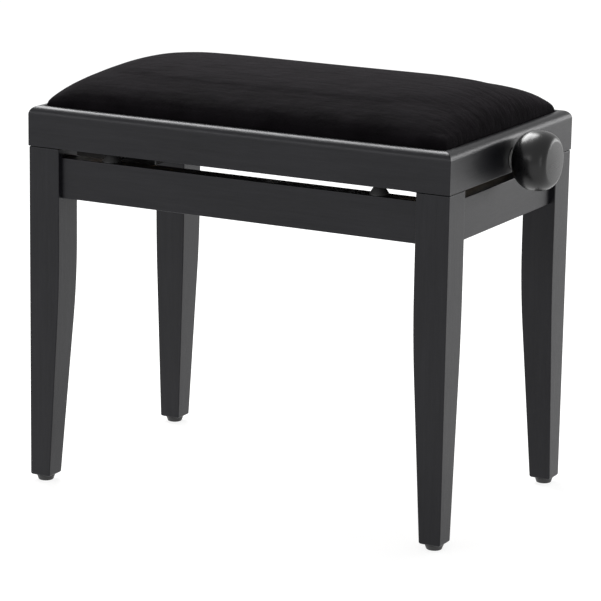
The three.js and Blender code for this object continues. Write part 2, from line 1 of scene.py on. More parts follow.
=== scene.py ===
"""The visible pieces and finishes of a height-adjustable piano bench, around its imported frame.

Metres, +Z up, +X towards the knob, -Y towards the front. The sections follow the bench as it is put
together: legs and aprons, the lift's lower half, seat frame and cushion, spindle, scissor arms.
"""
import json
import math
import random

import bmesh
import bpy
import numpy as np
from mathutils import Matrix, Vector


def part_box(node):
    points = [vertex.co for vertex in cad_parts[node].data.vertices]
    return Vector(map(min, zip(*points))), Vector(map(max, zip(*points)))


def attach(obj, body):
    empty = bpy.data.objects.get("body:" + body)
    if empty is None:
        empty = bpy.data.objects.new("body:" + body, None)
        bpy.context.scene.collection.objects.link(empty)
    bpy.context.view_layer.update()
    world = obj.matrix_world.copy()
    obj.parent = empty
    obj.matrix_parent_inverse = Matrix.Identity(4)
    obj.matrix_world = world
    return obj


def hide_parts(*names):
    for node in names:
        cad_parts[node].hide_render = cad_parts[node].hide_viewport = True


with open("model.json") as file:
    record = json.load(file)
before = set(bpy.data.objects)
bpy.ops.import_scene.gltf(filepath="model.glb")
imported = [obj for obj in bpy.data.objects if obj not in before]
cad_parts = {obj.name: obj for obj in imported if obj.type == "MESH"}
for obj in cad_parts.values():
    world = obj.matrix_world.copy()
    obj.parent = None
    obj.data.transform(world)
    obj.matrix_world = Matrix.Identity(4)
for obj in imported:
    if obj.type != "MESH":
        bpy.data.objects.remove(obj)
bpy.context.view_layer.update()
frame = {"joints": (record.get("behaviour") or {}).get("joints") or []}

# ---- Legs ---------------------------------------------------------------------------------------
# Four square hardwood legs, sawn and planed. The two inner faces taper to a slim foot, the arrises
# are sanded round, and satin black lacquer is sprayed on before the bench is put together.
MM = 0.001
CORNERS = {"rear_right": (1, 1), "rear_left": (-1, 1), "front_left": (-1, -1), "front_right": (1, -1)}
LEG_FOOT = 27 * MM
LEG_TAPER_TOP = 250 * MM
LEG_TAPER_EASE = 100 * MM
LEG_TAPER_CUTS = 6
LEG_ARRIS = 1.2 * MM
LEG_FOOT_ROUND = 2.6 * MM
SAME_PLACE = 0.02 * MM


def alone(piece=None):
    """Object mode, with only this piece selected and active."""
    if bpy.context.mode != "OBJECT":
        bpy.ops.object.mode_set(mode="OBJECT")
    bpy.ops.object.select_all(action="DESELECT")
    if piece:
        piece.select_set(True)
        bpy.context.view_layer.objects.active = piece


def named(name):
    """Names the piece that was just added, and moves its place into its mesh."""
    piece = bpy.context.object
    piece.name = piece.data.name = name
    bpy.ops.object.transform_apply(location=True, rotation=True, scale=True)
    return piece


def bar(name, low, high):
    """A square-edged bar between two corners."""
    alone()
    low, high = Vector(map(min, low, high)), Vector(map(max, low, high))
    bpy.ops.mesh.primitive_cube_add(size=1, location=(low + high) / 2, scale=high - low)
    return named(name)


def pick(piece, kind, test):
    """Edit mode, with the vertices, edges or faces selected whose place and direction pass."""
    alone(piece)
    bpy.ops.object.mode_set(mode="EDIT")
    bpy.ops.mesh.select_mode(type=kind)
    bpy.ops.mesh.select_all(action="DESELECT")
    shape = bmesh.from_edit_mesh(piece.data)
    shape.normal_update()
    if kind == "VERT":
        chosen = [v for v in shape.verts if test(v.co, v.normal)]
    elif kind == "EDGE":
        ends = [(e, e.verts[0].co, e.verts[1].co) for e in shape.edges]
        chosen = [e for e, a, b in ends if test((a + b) / 2, (b - a).normalized())]
    else:
        chosen = [f for f in shape.faces if test(f.calc_center_median(), f.normal)]
    for part in chosen:
        part.select_set(True)
    shape.select_flush_mode()
    bmesh.update_edit_mesh(piece.data)


def everything(place, direction):
    """For pick, when all of a piece is meant."""
    return True


def near(value, wanted):
    """Whether two measures are the same but for rounding."""
    return abs(value - wanted) < SAME_PLACE


def round_edges(piece, test, radius, segments=4):
    """Rounds the picked edges to one radius."""
    pick(piece, "EDGE", test)
    bpy.ops.mesh.bevel(offset=radius, segments=segments, profile=0.5, affect="EDGES")
    alone(piece)


def slice_at(piece, place, normal, clear=False):
    """Cuts a piece right through; clear takes away what the normal points at, and closes the cut."""
    pick(piece, "FACE", everything)
    bpy.ops.mesh.bisect(plane_co=place, plane_no=normal, use_fill=clear, clear_outer=clear)
    alone(piece)


def ease(piece, radius, segments=3, angle=35):
    """Breaks every sharp edge that is left, as sandpaper or a tumbling barrel does."""
    alone(piece)
    broken = piece.modifiers.new("broken_edges", "BEVEL")
    broken.width = radius
    broken.segments = segments
    broken.limit_method = "ANGLE"
    broken.angle_limit = math.radians(angle)
    bpy.ops.object.modifier_apply(modifier=broken.name)


def copied(piece, name, matrix):
    """A copy with its own mesh, turned and moved. A mirrored copy has its faces turned out again."""
    twin = piece.copy()
    twin.data = piece.data.copy()
    twin.name = twin.data.name = name
    bpy.context.scene.collection.objects.link(twin)
    twin.data.transform(matrix)
    if matrix.determinant() < 0:
        pick(twin, "FACE", everything)
        bpy.ops.mesh.normals_make_consistent(inside=False)
        alone(twin)
    return twin


def fit(piece, node, body, finish):
    """Smooths a finished piece, gives it its finish, and puts it on the bench for its CAD node."""
    alone(piece)
    bpy.ops.object.shade_smooth_by_angle(angle=math.radians(40))
    flats = piece.modifiers.new("flat_faces_first", "WEIGHTED_NORMAL")
    flats.keep_sharp = True
    bpy.ops.object.modifier_apply(modifier=flats.name)
    piece.data.materials.clear()
    piece.data.materials.append(finish.material)
    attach(piece, body)
    if node:
        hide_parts(node)
    return piece


class Wire:
    """The output of a shader node. Arithmetic on it adds Math nodes."""

    def __init__(self, finish, socket):
        self.finish = finish
        self.socket = socket

    def math(self, operation, *values):
        return self.finish.node("Math", {"operation": operation}, dict(enumerate(values)))

    def __add__(self, other):
        return self.math("ADD", self, other)

    def __mul__(self, other):
        return self.math("MULTIPLY", self, other)

    __radd__ = __add__
    __rmul__ = __mul__


class Finish:
    """A material, built from nodes."""

    def __init__(self, name):
        self.material = bpy.data.materials.new(name)
        self.material.use_nodes = True
        self.tree = self.material.node_tree
        self.tree.nodes.clear()

    def node(self, kind, settings=None, inputs=None, output=0):
        """Adds a node, sets it, and joins its sockets to wires or gives them values."""
        added = self.tree.nodes.new("ShaderNode" + kind)
        for setting, value in (settings or {}).items():
            setattr(added, setting, value)
        for key, value in (inputs or {}).items():
            socket = added.inputs[key]
            if isinstance(value, Wire):
                self.tree.links.new(value.socket, socket)
            else:
                socket.default_value = value
        return Wire(self, added.outputs[output]) if len(added.outputs) else None

    def place(self, stretch=(1, 1, 1)):
        """Where a point is on the bench, with lengths along each axis multiplied."""
        spot = self.node("TexCoord", output="Object")
        return self.node("Mapping", inputs={"Vector": spot, "Scale": stretch})

    def noise(self, place, scale, detail=2.0, roughness=0.5):
        """A cloudy pattern with this many lumps to a metre."""
        sizes = {"Vector": place, "Scale": scale, "Detail": detail, "Roughness": roughness}
        return self.node("TexNoise", inputs=sizes)

    def spread(self, wire, low, high):
        """Stretches the part of a pattern between low and high over 0 to 1."""
        sizes = {"Value": wire, "From Min": low, "From Max": high}
        return self.node("MapRange", inputs=sizes)

    def blend(self, share, first, second):
        """A colour between two, by a share of the second."""
        sizes = {0: share, 6: first, 7: second}
        return self.node("Mix", {"data_type": "RGBA"}, sizes, output=2)

    def bump(self, height, depth, strength=1.0):
        """A shallow relief, by a pattern of height."""
        sizes = {"Height": height, "Distance": depth, "Strength": strength}
        return self.node("Bump", inputs=sizes)

    def shine(self, sockets):
        """The surface itself: a Principled shader with these sockets."""
        shader = self.node("BsdfPrincipled", inputs=sockets)
        self.node("OutputMaterial", inputs={"Surface": shader})
        return self


def shade(red, green, blue):
    """A colour from its screen values, 0 to 255."""
    levels = [
        ((c / 255 + 0.055) / 1.055) ** 2.4 if c > 10 else c / 3295 for c in (red, green, blue)]
    return (*levels, 1)


def along_grain(axis, squeeze):
    """The stretch of a pattern that runs along one axis."""
    return tuple(squeeze if name == axis else 1 for name in "XYZ")


def lacquer(axis):
    """Satin black lacquer on a close-grained hardwood whose grain runs along one axis."""
    paint = Finish("satin_lacquer_along_" + axis.lower())
    grain = paint.place(along_grain(axis, 0.035))
    pores = paint.spread(paint.noise(grain, 1500, 3, 0.6), 0.35, 0.75)
    figure = paint.noise(grain, 210, 3, 0.55)
    mist = paint.noise(paint.place(), 14, 3)
    droplets = paint.noise(paint.place(), 420, 1)
    tint = paint.spread(figure * 0.5 + mist * 0.3 + pores * 0.2, 0.3, 0.7)
    height = pores * 0.5 + figure * 0.7 + droplets * 0.35
    return paint.shine({
        "Base Color": paint.blend(tint, (0.0002, 0.0002, 0.001, 1), (0.0058, 0.0058, 0.0074, 1)),
        "Roughness": 0.3 + 0.08 * mist + 0.08 * pores,
        "IOR": 1.35,
        "Specular Tint": (0.97, 0.97, 1, 1),
        "Normal": paint.bump(height, 0.1 * MM, 0.8),
    })


lacquer_along = {axis: lacquer(axis) for axis in "XYZ"}

overspray = Finish("thin_overspray")
spray_mist = overspray.noise(overspray.place(), 60, 4, 0.6)
spray_dust = overspray.noise(overspray.place(), 900, 2, 0.7)
overspray.shine({
    "Base Color": overspray.blend(spray_mist, (0.002, 0.002, 0.0025, 1), (0.008, 0.0075, 0.0075, 1)),
    "Roughness": 0.7 + 0.15 * spray_dust,
    "IOR": 1.25,
    "Normal": overspray.bump(spray_dust, 0.05 * MM, 0.6),
})


def coat_inside(piece, inward_faces):
    """Gives the faces that point into the bench the thin coat that reaches them."""
    piece.data.materials.append(overspray.material)
    for face in piece.data.polygons:
        if inward_faces(face):
            face.material_index = 1


def outer_corner(node, side_x, side_y):
    """The upright edge of a leg that faces away from the bench's middle."""
    low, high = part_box(node)
    return Vector((high.x if side_x > 0 else low.x, high.y if side_y > 0 else low.y, 0))


def turn_to(corner):
    """Carries what was made for the rear right leg round to another leg."""
    turns = math.radians(90 * list(CORNERS).index(corner))
    home = outer_corner("leg_rear_right", 1, 1)
    there = outer_corner("leg_" + corner, *CORNERS[corner])
    return Matrix.Translation(there) @ Matrix.Rotation(turns, 4, "Z") @ Matrix.Translation(-home)


leg_low, leg_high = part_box("leg_rear_right")
leg_size = leg_high.x - leg_low.x
leg_slope = (leg_size - LEG_FOOT) / (LEG_TAPER_TOP - leg_low.z)


def taper_inset(height):
    """How far the inner faces stand back from the square at a height."""
    start = LEG_TAPER_TOP - LEG_TAPER_EASE / 2
    if height <= start:
        return leg_slope * (LEG_TAPER_TOP - height)
    share = (height - start) / LEG_TAPER_EASE
    return leg_slope * LEG_TAPER_EASE / 2 * (1 - share) ** 2


first_leg = bar("tapered_leg_rear_right", leg_low, leg_high)
leg_levels = [
    LEG_TAPER_TOP + LEG_TAPER_EASE * (i / LEG_TAPER_CUTS - 0.5) for i in range(LEG_TAPER_CUTS + 1)]
for level in leg_levels:
    slice_at(first_leg, (0, 0, level), (0, 0, 1))
for level in [leg_low.z] + leg_levels[:-1]:
    pick(first_leg, "VERT", lambda place, normal: near(place.z, level) and near(place.x, leg_low.x))
    bpy.ops.transform.translate(value=(taper_inset(level), 0, 0))
    pick(first_leg, "VERT", lambda place, normal: near(place.z, level) and near(place.y, leg_low.y))
    bpy.ops.transform.translate(value=(0, taper_inset(level), 0))
round_edges(first_leg, lambda place, way: near(place.z, leg_low.z), LEG_FOOT_ROUND, 5)
ease(first_leg, LEG_ARRIS, 4)
for corner in CORNERS:
    leg = first_leg
    if corner != "rear_right":
        leg = copied(first_leg, "tapered_leg_" + corner, turn_to(corner))
    fit(leg, "leg_" + corner, "base", lacquer_along["Z"])

# ---- Glides -------------------------------------------------------------------------------------
# A moulded black plastic glide under each leg, slightly conical, nailed on through a countersunk
# hole in its middle. The nail's zinc head sits clear of the floor.
GLIDE_SOLE = 7.6 * MM
GLIDE_WAIST = 9.4 * MM
GLIDE_ROUND = 1.6 * MM
GLIDE_RIM = 0.6 * MM
GLIDE_SEAT = 0.1 * MM
NAIL_WELL_RADIUS = 4.2 * MM
NAIL_WELL_SLOPE = 0.8 * MM
NAIL_WELL_DEPTH = 2.4 * MM
NAIL_HEAD_RADIUS = 3.2 * MM
NAIL_HEAD_DOME = 1.6 * MM
NAIL_CROWN = 0.7 * MM


def arc(centre_radius, centre_height, radius, start, end, steps=6, tall=None):
    """Points on a quarter round or part of it, as (radius, height), by angles in degrees."""
    tall = radius if tall is None else tall
    angles = [math.radians(start + (end - start) * i / steps) for i in range(steps + 1)]
    return [(centre_radius + radius * math.cos(a), centre_height + tall * math.sin(a)) for a in angles]


def turned(name, profile, foot=(0, 0, 0), way=(0, 0, 1), steps=48):
    """A shape turned about an axis: (radius, height) points are spun, then stood on foot along way."""
    alone()
    bpy.ops.mesh.primitive_plane_add(size=MM)
    bpy.ops.object.mode_set(mode="EDIT")
    bpy.ops.mesh.select_mode(type="VERT")
    bpy.ops.mesh.merge(type="CENTER")
    points = [Vector((radius, 0, height)) for radius, height in profile]
    bpy.ops.transform.translate(value=points[0])
    for start, end in zip(points, points[1:]):
        bpy.ops.mesh.extrude_region_move(TRANSFORM_OT_translate={"value": end - start})
    bpy.ops.mesh.select_all(action="SELECT")
    bpy.ops.mesh.spin(steps=steps, angle=2 * math.pi, center=(0, 0, 0), axis=(0, 0, 1))
    bpy.ops.mesh.select_all(action="SELECT")
    bpy.ops.mesh.remove_doubles(threshold=0.001 * MM)
    bpy.ops.mesh.normals_make_consistent(inside=False)
    bpy.ops.object.mode_set(mode="OBJECT")
    piece = bpy.context.object
    piece.rotation_euler = Vector(way).to_track_quat("Z", "Y").to_euler()
    piece.location = foot
    return named(name)


def moulded(name, colour, gloss, grain=900, depth=0.03, index=1.5):
    """A moulded plastic or rubber with the fine tooth of its mould."""
    mould = Finish(name)
    tooth = mould.noise(mould.place(), grain, 2)
    cloud = mould.noise(mould.place(), 60, 3)
    lighter = tuple(min(1, c * 1.5) for c in colour[:3]) + (1,)
    return mould.shine({
        "Base Color": mould.blend(mould.spread(cloud, 0.3, 0.7), colour, lighter),
        "Roughness": gloss + 0.12 * cloud + 0.06 * tooth,
        "IOR": index,
        "Normal": mould.bump(tooth, depth * MM, 0.4),
    })


def zinc(name, axis="Z", rings=1.0):
    """Bright zinc plate, pale and faintly mottled. A turned bar keeps fine rings round its axis."""
    plate = Finish(name)
    bloom = plate.spread(plate.noise(plate.place(), 140, 4, 0.6), 0.3, 0.7)
    lathe = plate.noise(plate.place(along_grain(axis, rings)), 300, 2)
    return plate.shine({
        "Base Color": plate.blend(bloom, (0.42, 0.42, 0.4, 1), (0.6, 0.61, 0.62, 1)),
        "Metallic": 1.0,
        "Roughness": 0.24 + 0.16 * bloom + 0.06 * lathe,
        "Normal": plate.bump(lathe, 0.02 * MM, 0.35),
    })


foot_plastic = moulded("moulded_foot_plastic", shade(22, 22, 23), 0.38)
zinc_fixing = zinc("zinc_fixing")
glide_low, glide_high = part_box("glide_rear_right")
glide_top = leg_low.z - GLIDE_SEAT
glide_radius = (glide_high.x - glide_low.x) / 2
glide_foot = Vector(((glide_low.x + glide_high.x) / 2, (glide_low.y + glide_high.y) / 2, 0))
first_glide = turned("foot_glide_rear_right", [
    (0, NAIL_WELL_DEPTH),
    (NAIL_WELL_RADIUS - NAIL_WELL_SLOPE, NAIL_WELL_DEPTH),
    (NAIL_WELL_RADIUS, 0),
    (GLIDE_SOLE, 0),
    *arc(GLIDE_WAIST - GLIDE_ROUND, GLIDE_ROUND, GLIDE_ROUND, -90, -15),
    *arc(glide_radius - GLIDE_RIM, glide_top - GLIDE_RIM, GLIDE_RIM, 0, 90, 4),
    (0, glide_top),
], glide_foot)
first_nail = turned("glide_nail_rear_right", [
    (0, NAIL_CROWN),
    *arc(0, NAIL_WELL_DEPTH, NAIL_HEAD_RADIUS, -80, 0, 6, NAIL_HEAD_DOME),
    (0, NAIL_WELL_DEPTH + 0.2 * MM),
], glide_foot, steps=24)
for corner in CORNERS:
    glide, nail = first_glide, first_nail
    if corner != "rear_right":
        glide = copied(first_glide, "foot_glide_" + corner, turn_to(corner))
        nail = copied(first_nail, "glide_nail_" + corner, turn_to(corner))
    fit(glide, "glide_" + corner, "base", foot_plastic)
    fit(nail, None, "base", zinc_fixing)

# ---- Aprons -------------------------------------------------------------------------------------
# Four hardwood boards, doweled and glued into the legs a little behind their faces. Their arrises
# are sanded like the legs', and their ends disappear into the joint.
APRON_ARRIS = 1.0 * MM
APRON_HOUSING = 1.2 * MM

for side in ("front", "rear", "left", "right"):
    low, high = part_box("apron_" + side)
    lengthwise = side in ("front", "rear")
    housing = Vector((APRON_HOUSING, 0, 0)) if lengthwise else Vector((0, APRON_HOUSING, 0))
    apron = bar("apron_board_" + side, low - housing, high + housing)
    ease(apron, APRON_ARRIS)
    fit(apron, "apron_" + side, "base", lacquer_along["X" if lengthwise else "Y"])
    inside = -((low + high) / 2)
    coat_inside(apron, lambda face: face.normal.dot(Vector((inside.x, inside.y, 0)).normalized()) > 0.9)

# ---- Corner blocks and leg bolts ----------------------------------------------------------------
# A raw beech block is glued across each inside corner. A zinc-plated hanger bolt from the leg passes
# through it, and a washer and a hexagon nut draw the leg up tight.
BLOCK_ARRIS = 0.8 * MM
BOLT_RADIUS = 4 * MM
BOLT_PITCH = 1.25 * MM
THREAD_DEPTH_PER_PITCH = 0.61
THREAD_FLANK = ((0, 0), (1, 0.32), (1, 0.44), (0, 0.76), (0, 1))
BLOCK_GLUE_LINE = 0.3 * MM
BLOCK_THICKNESS = 14 * MM
NUT_RADIUS = 7.5 * MM
NUT_HEIGHT = 6.5 * MM
NUT_CHAMFER = 0.9 * MM
WASHER_RADIUS = 10 * MM
WASHER_THICKNESS = 1.6 * MM
WASHER_BACK_EDGE = 0.2 * MM
WASHER_FRONT_EDGE = 0.3 * MM
BOLT_TAIL = 4 * MM
BOLT_START = 1.7 * MM


def threaded(name, radius, pitch, length, foot, way, steps=20):
    """A right-hand thread: one pitch of its flank is swept up a helix and trimmed at both ends."""
    root = radius - THREAD_DEPTH_PER_PITCH * pitch
    flank = [(radius if crest else root, share) for crest, share in THREAD_FLANK]
    alone()
    bpy.ops.mesh.primitive_plane_add(size=MM)
    bpy.ops.object.mode_set(mode="EDIT")
    bpy.ops.mesh.select_mode(type="VERT")
    bpy.ops.mesh.merge(type="CENTER")
    points = [Vector((across, 0, (share - 1) * pitch)) for across, share in flank]
    bpy.ops.transform.translate(value=points[0])
    for start, end in zip(points, points[1:]):
        bpy.ops.mesh.extrude_region_move(TRANSFORM_OT_translate={"value": end - start})
    bpy.ops.object.mode_set(mode="OBJECT")
    piece = bpy.context.object
    helix = piece.modifiers.new("helix", "SCREW")
    helix.axis = "Z"
    helix.angle = 2 * math.pi
    helix.screw_offset = pitch
    helix.iterations = math.ceil(length / pitch) + 3
    helix.steps = helix.render_steps = steps
    helix.use_merge_vertices = True
    helix.merge_threshold = 0.002 * MM
    bpy.ops.object.modifier_apply(modifier=helix.name)
    slice_at(piece, (0, 0, length), (0, 0, 1), clear=True)
    slice_at(piece, (0, 0, 0), (0, 0, -1), clear=True)
    pick(piece, "FACE", everything)
    bpy.ops.mesh.remove_doubles(threshold=0.002 * MM)
    bpy.ops.mesh.normals_make_consistent(inside=False)
    alone(piece)
    piece.rotation_euler = Vector(way).to_track_quat("Z", "Y").to_euler()
    piece.location = foot
    return named(name)


def carve(piece, tool, operation="DIFFERENCE"):
    """Cuts a piece by a tool, joins it or keeps what they share, and throws the tool away."""
    alone(piece)
    cut = piece.modifiers.new("cut", "BOOLEAN")
    cut.operation = operation
    cut.solver = "EXACT"
    cut.object = tool
    bpy.ops.object.modifier_apply(modifier=cut.name)
    bpy.data.objects.remove(tool)
    return piece


def weld(name, pieces):
    """Makes one piece of several that touch, as they are one casting or one fitted set."""
    whole = pieces[0]
    for other in pieces[1:]:
        carve(whole, other, "UNION")
    whole.name = whole.data.name = name
    return whole


def hexagon_nut(name, radius, height, chamfer, foot, way):
    """A hexagon bar's end, its corners turned off at 30 degrees on both faces."""
    nut = turned(name, [(0, 0), (radius, 0), (radius, height), (0, height)], foot, way, steps=6)
    flat = radius * math.cos(math.pi / 6)
    slope = (radius - flat) * math.tan(math.pi / 6) + chamfer / 2
    past = 0.001 * MM
    beyond = radius * 1.02
    lathe_cut = turned("lathe_cut", [
        (0, -past),
        (flat, -past),
        (beyond, slope),
        (beyond, height - slope),
        (flat, height + past),
        (0, height + past),
    ], foot, way, steps=36)
    return carve(nut, lathe_cut, "INTERSECT")


beech = Finish("raw_beech")
beech_grain = beech.place((1, 1, 8))
beech_rays = beech.spread(beech.noise(beech_grain, 260, 3, 0.6), 0.4, 0.7)
beech_rings = beech.noise(beech.place((1, 1, 2)), 90, 3)
beech.shine({
    "Base Color": beech.blend(
        beech_rays * 0.5 + beech_rings * 0.5, shade(186, 148, 106), shade(146, 106, 70)),
    "Roughness": 0.62 + 0.15 * beech_rays,
    "Normal": beech.bump(beech_rays + beech_rings, 0.15 * MM, 0.5),
})

block_low, block_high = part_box("corner_block_rear_right")
inward = Vector((-1, -1, 0)).normalized()
leg_corner = outer_corner("leg_rear_right", 1, 1)
bolt_z = (block_low.z + block_high.z) / 2
block_outer = leg_size * math.sqrt(2) + BLOCK_GLUE_LINE
block_inner = block_outer + BLOCK_THICKNESS

first_block = bar("beech_block_rear_right", block_low, block_high)
slice_at(first_block, leg_corner + inward * block_outer, -inward, clear=True)
slice_at(first_block, leg_corner + inward * block_inner, inward, clear=True)
ease(first_block, BLOCK_ARRIS, 2)
on_axis = Vector((leg_corner.x, leg_corner.y, bolt_z))
washer_at = on_axis + inward * (block_inner + 0.05 * MM)
nut_at = washer_at + inward * WASHER_THICKNESS
first_bolt = weld("hanger_bolt_rear_right", [
    turned("washer", [
        (0, 0),
        (WASHER_RADIUS - WASHER_BACK_EDGE, 0),
        (WASHER_RADIUS, WASHER_BACK_EDGE),
        (WASHER_RADIUS, WASHER_THICKNESS - WASHER_FRONT_EDGE),
        (WASHER_RADIUS - WASHER_FRONT_EDGE, WASHER_THICKNESS),
        (0, WASHER_THICKNESS),
    ], washer_at, inward, 40),
    hexagon_nut("nut", NUT_RADIUS, NUT_HEIGHT, NUT_CHAMFER, nut_at - inward * 0.1 * MM, inward),
    threaded("bolt", BOLT_RADIUS, BOLT_PITCH, NUT_HEIGHT + BOLT_TAIL - 2 * MM,
             nut_at + inward * BOLT_START, inward),
])
for corner in CORNERS:
    block, bolt = first_block, first_bolt
    if corner != "rear_right":
        block = copied(first_block, "beech_block_" + corner, turn_to(corner))
        bolt = copied(first_bolt, "hanger_bolt_" + corner, turn_to(corner))
    fit(block, "corner_block_" + corner, "base", beech)
    fit(bolt, "leg_bolt_" + corner, "base", zinc_fixing)

# ---- Rubber buffers -----------------------------------------------------------------------------
# Four moulded rubber cones screwed to the tops of the long aprons, which the seat frame comes down
# on. The screw sits deep in the cone's open top.
BUFFER_FOOT = 11.5 * MM
BUFFER_TOP = 5.5 * MM
BUFFER_BRIM = 1.5 * MM
BUFFER_WELL = 3.4 * MM
BUFFER_WELL_DEPTH = 5 * MM
BUFFER_WELL_EDGE = 0.3 * MM
BUFFER_FOOT_ROUND = 0.5 * MM
BUFFER_TOP_ROUND = 0.8 * MM
BUFFER_SCREW_RADIUS = 2.7 * MM

rubber = moulded("moulded_rubber", shade(20, 20, 21), 0.62, grain=1400, depth=0.05)
for side in ("front", "rear"):
    for end in ("left", "right"):
        low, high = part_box(f"rubber_buffer_{side}_{end}")
        foot = Vector(((low.x + high.x) / 2, (low.y + high.y) / 2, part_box("apron_" + side)[1].z))
        tall = high.z - foot.z
        buffer = turned(f"buffer_cone_{side}_{end}", [
            (0, 0),
            (BUFFER_FOOT - 0.3 * MM, 0),
            *arc(BUFFER_FOOT - BUFFER_FOOT_ROUND, BUFFER_BRIM - BUFFER_FOOT_ROUND,
                 BUFFER_FOOT_ROUND, 0, 60, 3),
            *arc(BUFFER_TOP - BUFFER_TOP_ROUND, tall - BUFFER_TOP_ROUND, BUFFER_TOP_ROUND, 20, 90, 4),
            (BUFFER_WELL + BUFFER_WELL_EDGE, tall),
            (BUFFER_WELL, tall - 0.4 * MM),
            (BUFFER_WELL - BUFFER_WELL_EDGE, tall - BUFFER_WELL_DEPTH),
            (0, tall - BUFFER_WELL_DEPTH),
        ], foot)
        fit(buffer, f"rubber_buffer_{side}_{end}", "base", rubber)
        head = turned(f"buffer_screw_{side}_{end}", [
            (0, 0),
            (BUFFER_SCREW_RADIUS - 0.1 * MM, 0),
            *arc(0, 0.4 * MM, BUFFER_SCREW_RADIUS, 0, 90, 5, 1.2 * MM),
        ], foot + Vector((0, 0, tall - BUFFER_WELL_DEPTH)), steps=20)
        fit(head, None, "base", zinc_fixing)

# ---- Lower rails --------------------------------------------------------------------------------
# Pressed steel angles screwed to the inside of the long aprons, with one ear for the fixed pivot and
# one slotted ear for the sliding rod. They are powder-coated black after pressing.
SHEET = 3 * MM
PRESS_RADIUS = 2.5 * MM
SHEAR_EDGE = 0.35 * MM
LIP_DROP = 15 * MM
EAR_HALF_WIDTH = 11 * MM
SLOTTED_EAR_TAIL = 16 * MM
PIVOT_HOLE = 5.3 * MM
SCREW_HOLE = 2.5 * MM
SLOT_HALF_HEIGHT = 6.3 * MM
SLOT_SPARE = 2 * MM
FULL_ROUND = 0.999

powder = Finish("black_powder_coat")
powder_peel = powder.noise(powder.place(), 1500, 2, 0.6)
powder_cloud = powder.noise(powder.place(), 35, 3)
powder.shine({
    "Base Color": powder.blend(
        powder.spread(powder_cloud, 0.3, 0.7), shade(20, 20, 21), shade(30, 30, 31)),
    "Roughness": 0.42 + 0.12 * powder_cloud + 0.08 * powder_peel,
    "Specular IOR Level": 0.45,
    "Normal": powder.bump(powder_peel, 0.08 * MM, 0.5),
})


def middle(node):
    """The middle of a CAD node's box."""
    low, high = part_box(node)
    return (low + high) / 2


fixed_pivot = middle("fixed_lower_rod")
slide_pivot = middle("lower_slide_rod")
upper_pivot = middle("upper_pivot_pin_front")
nut_middle = middle("spindle_nut")
arm_length = math.hypot(fixed_pivot.x - slide_pivot.x, nut_middle.z - fixed_pivot.z)
lift = next(joint for joint in frame["joints"] if joint["name"] == "seat_lift")["range_m"][1]
rise = nut_middle.z - fixed_pivot.z
slot_travel = math.sqrt(arm_length ** 2 - rise ** 2) - math.sqrt(arm_length ** 2 - (rise + lift) ** 2)


def slot_tool(z, y0, y1):
    """What a punch takes out for a sliding pivot: a bar with round ends through the sheet."""
    low = Vector((slide_pivot.x - SLOT_SPARE - SLOT_HALF_HEIGHT, y0, z - SLOT_HALF_HEIGHT))
    far_end = slide_pivot.x + slot_travel + SLOT_SPARE
    high = Vector((far_end + SLOT_HALF_HEIGHT, y1, z + SLOT_HALF_HEIGHT))
    tool = bar("slot_tool", low, high)
    round_edges(tool, lambda place, way: abs(way.y) > 0.9, SLOT_HALF_HEIGHT * FULL_ROUND, 10)
    return tool


def drill(radius, place, way, length, steps=32):
    """A drill bit with its middle at a place."""
    half = length / 2
    start = Vector(place) - Vector(way) * half
    profile = [(0, 0), (radius, 0), (radius, length), (0, length)]
    return turned("drill", profile, start, way, steps)


def rail_ear(x0, x1, y0, y1, bottom, top_z):
    """A sheet steel ear with a round top, standing on the flange."""
    ear = bar(
        "ear", (x0 - EAR_HALF_WIDTH, y0, bottom), (x1 + EAR_HALF_WIDTH, y1, top_z + EAR_HALF_WIDTH))
    round_edges(
        ear,
        lambda place, way: abs(way.y) > 0.9 and place.z > top_z,
        EAR_HALF_WIDTH * FULL_ROUND, 8)
    return ear


rail_low, rail_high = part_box("lower_rail_front")
apron_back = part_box("apron_front")[1].y
flange_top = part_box("apron_front")[1].z - LIP_DROP
screw_places = {end: middle("lower_rail_screw_front_" + end).x for end in ("left", "right")}
screw_z = middle("lower_rail_screw_front_left").z
ear_y = (rail_high.y - SHEET, rail_high.y)
lower_rail = bar("lower_rail", rail_low, (rail_high.x, rail_low.y + SHEET, flange_top))
flange = bar(
    "flange", (slide_pivot.x - SLOT_SPARE - EAR_HALF_WIDTH, rail_low.y, flange_top - SHEET),
    (fixed_pivot.x + EAR_HALF_WIDTH, rail_high.y, flange_top))
slotted_end = slide_pivot.x + slot_travel + SLOT_SPARE + SLOTTED_EAR_TAIL
weld("pressed_rail_front", [
    lower_rail,
    flange,
    rail_ear(slide_pivot.x - SLOT_SPARE, slotted_end, *ear_y, flange_top - SHEET, fixed_pivot.z),
    rail_ear(fixed_pivot.x, fixed_pivot.x, *ear_y, flange_top - SHEET, fixed_pivot.z),
])
carve(lower_rail, slot_tool(fixed_pivot.z, ear_y[0] - SHEET, ear_y[1] + SHEET))
along_y = Vector((0, 1, 0))
carve(lower_rail, drill(PIVOT_HOLE, (fixed_pivot.x, ear_y[0], fixed_pivot.z), along_y, 4 * SHEET))
for x in screw_places.values():
    carve(lower_rail, drill(SCREW_HOLE, (x, rail_low.y, screw_z), along_y, 4 * SHEET, 20))
ease(lower_rail, SHEAR_EDGE, 2)
flip_y = Matrix.Scale(-1, 4, (0, 1, 0))
rear_rail = copied(lower_rail, "pressed_rail_rear", flip_y)
fit(lower_rail, "lower_rail_front", "base", powder)
fit(rear_rail, "lower_rail_rear", "base", powder)

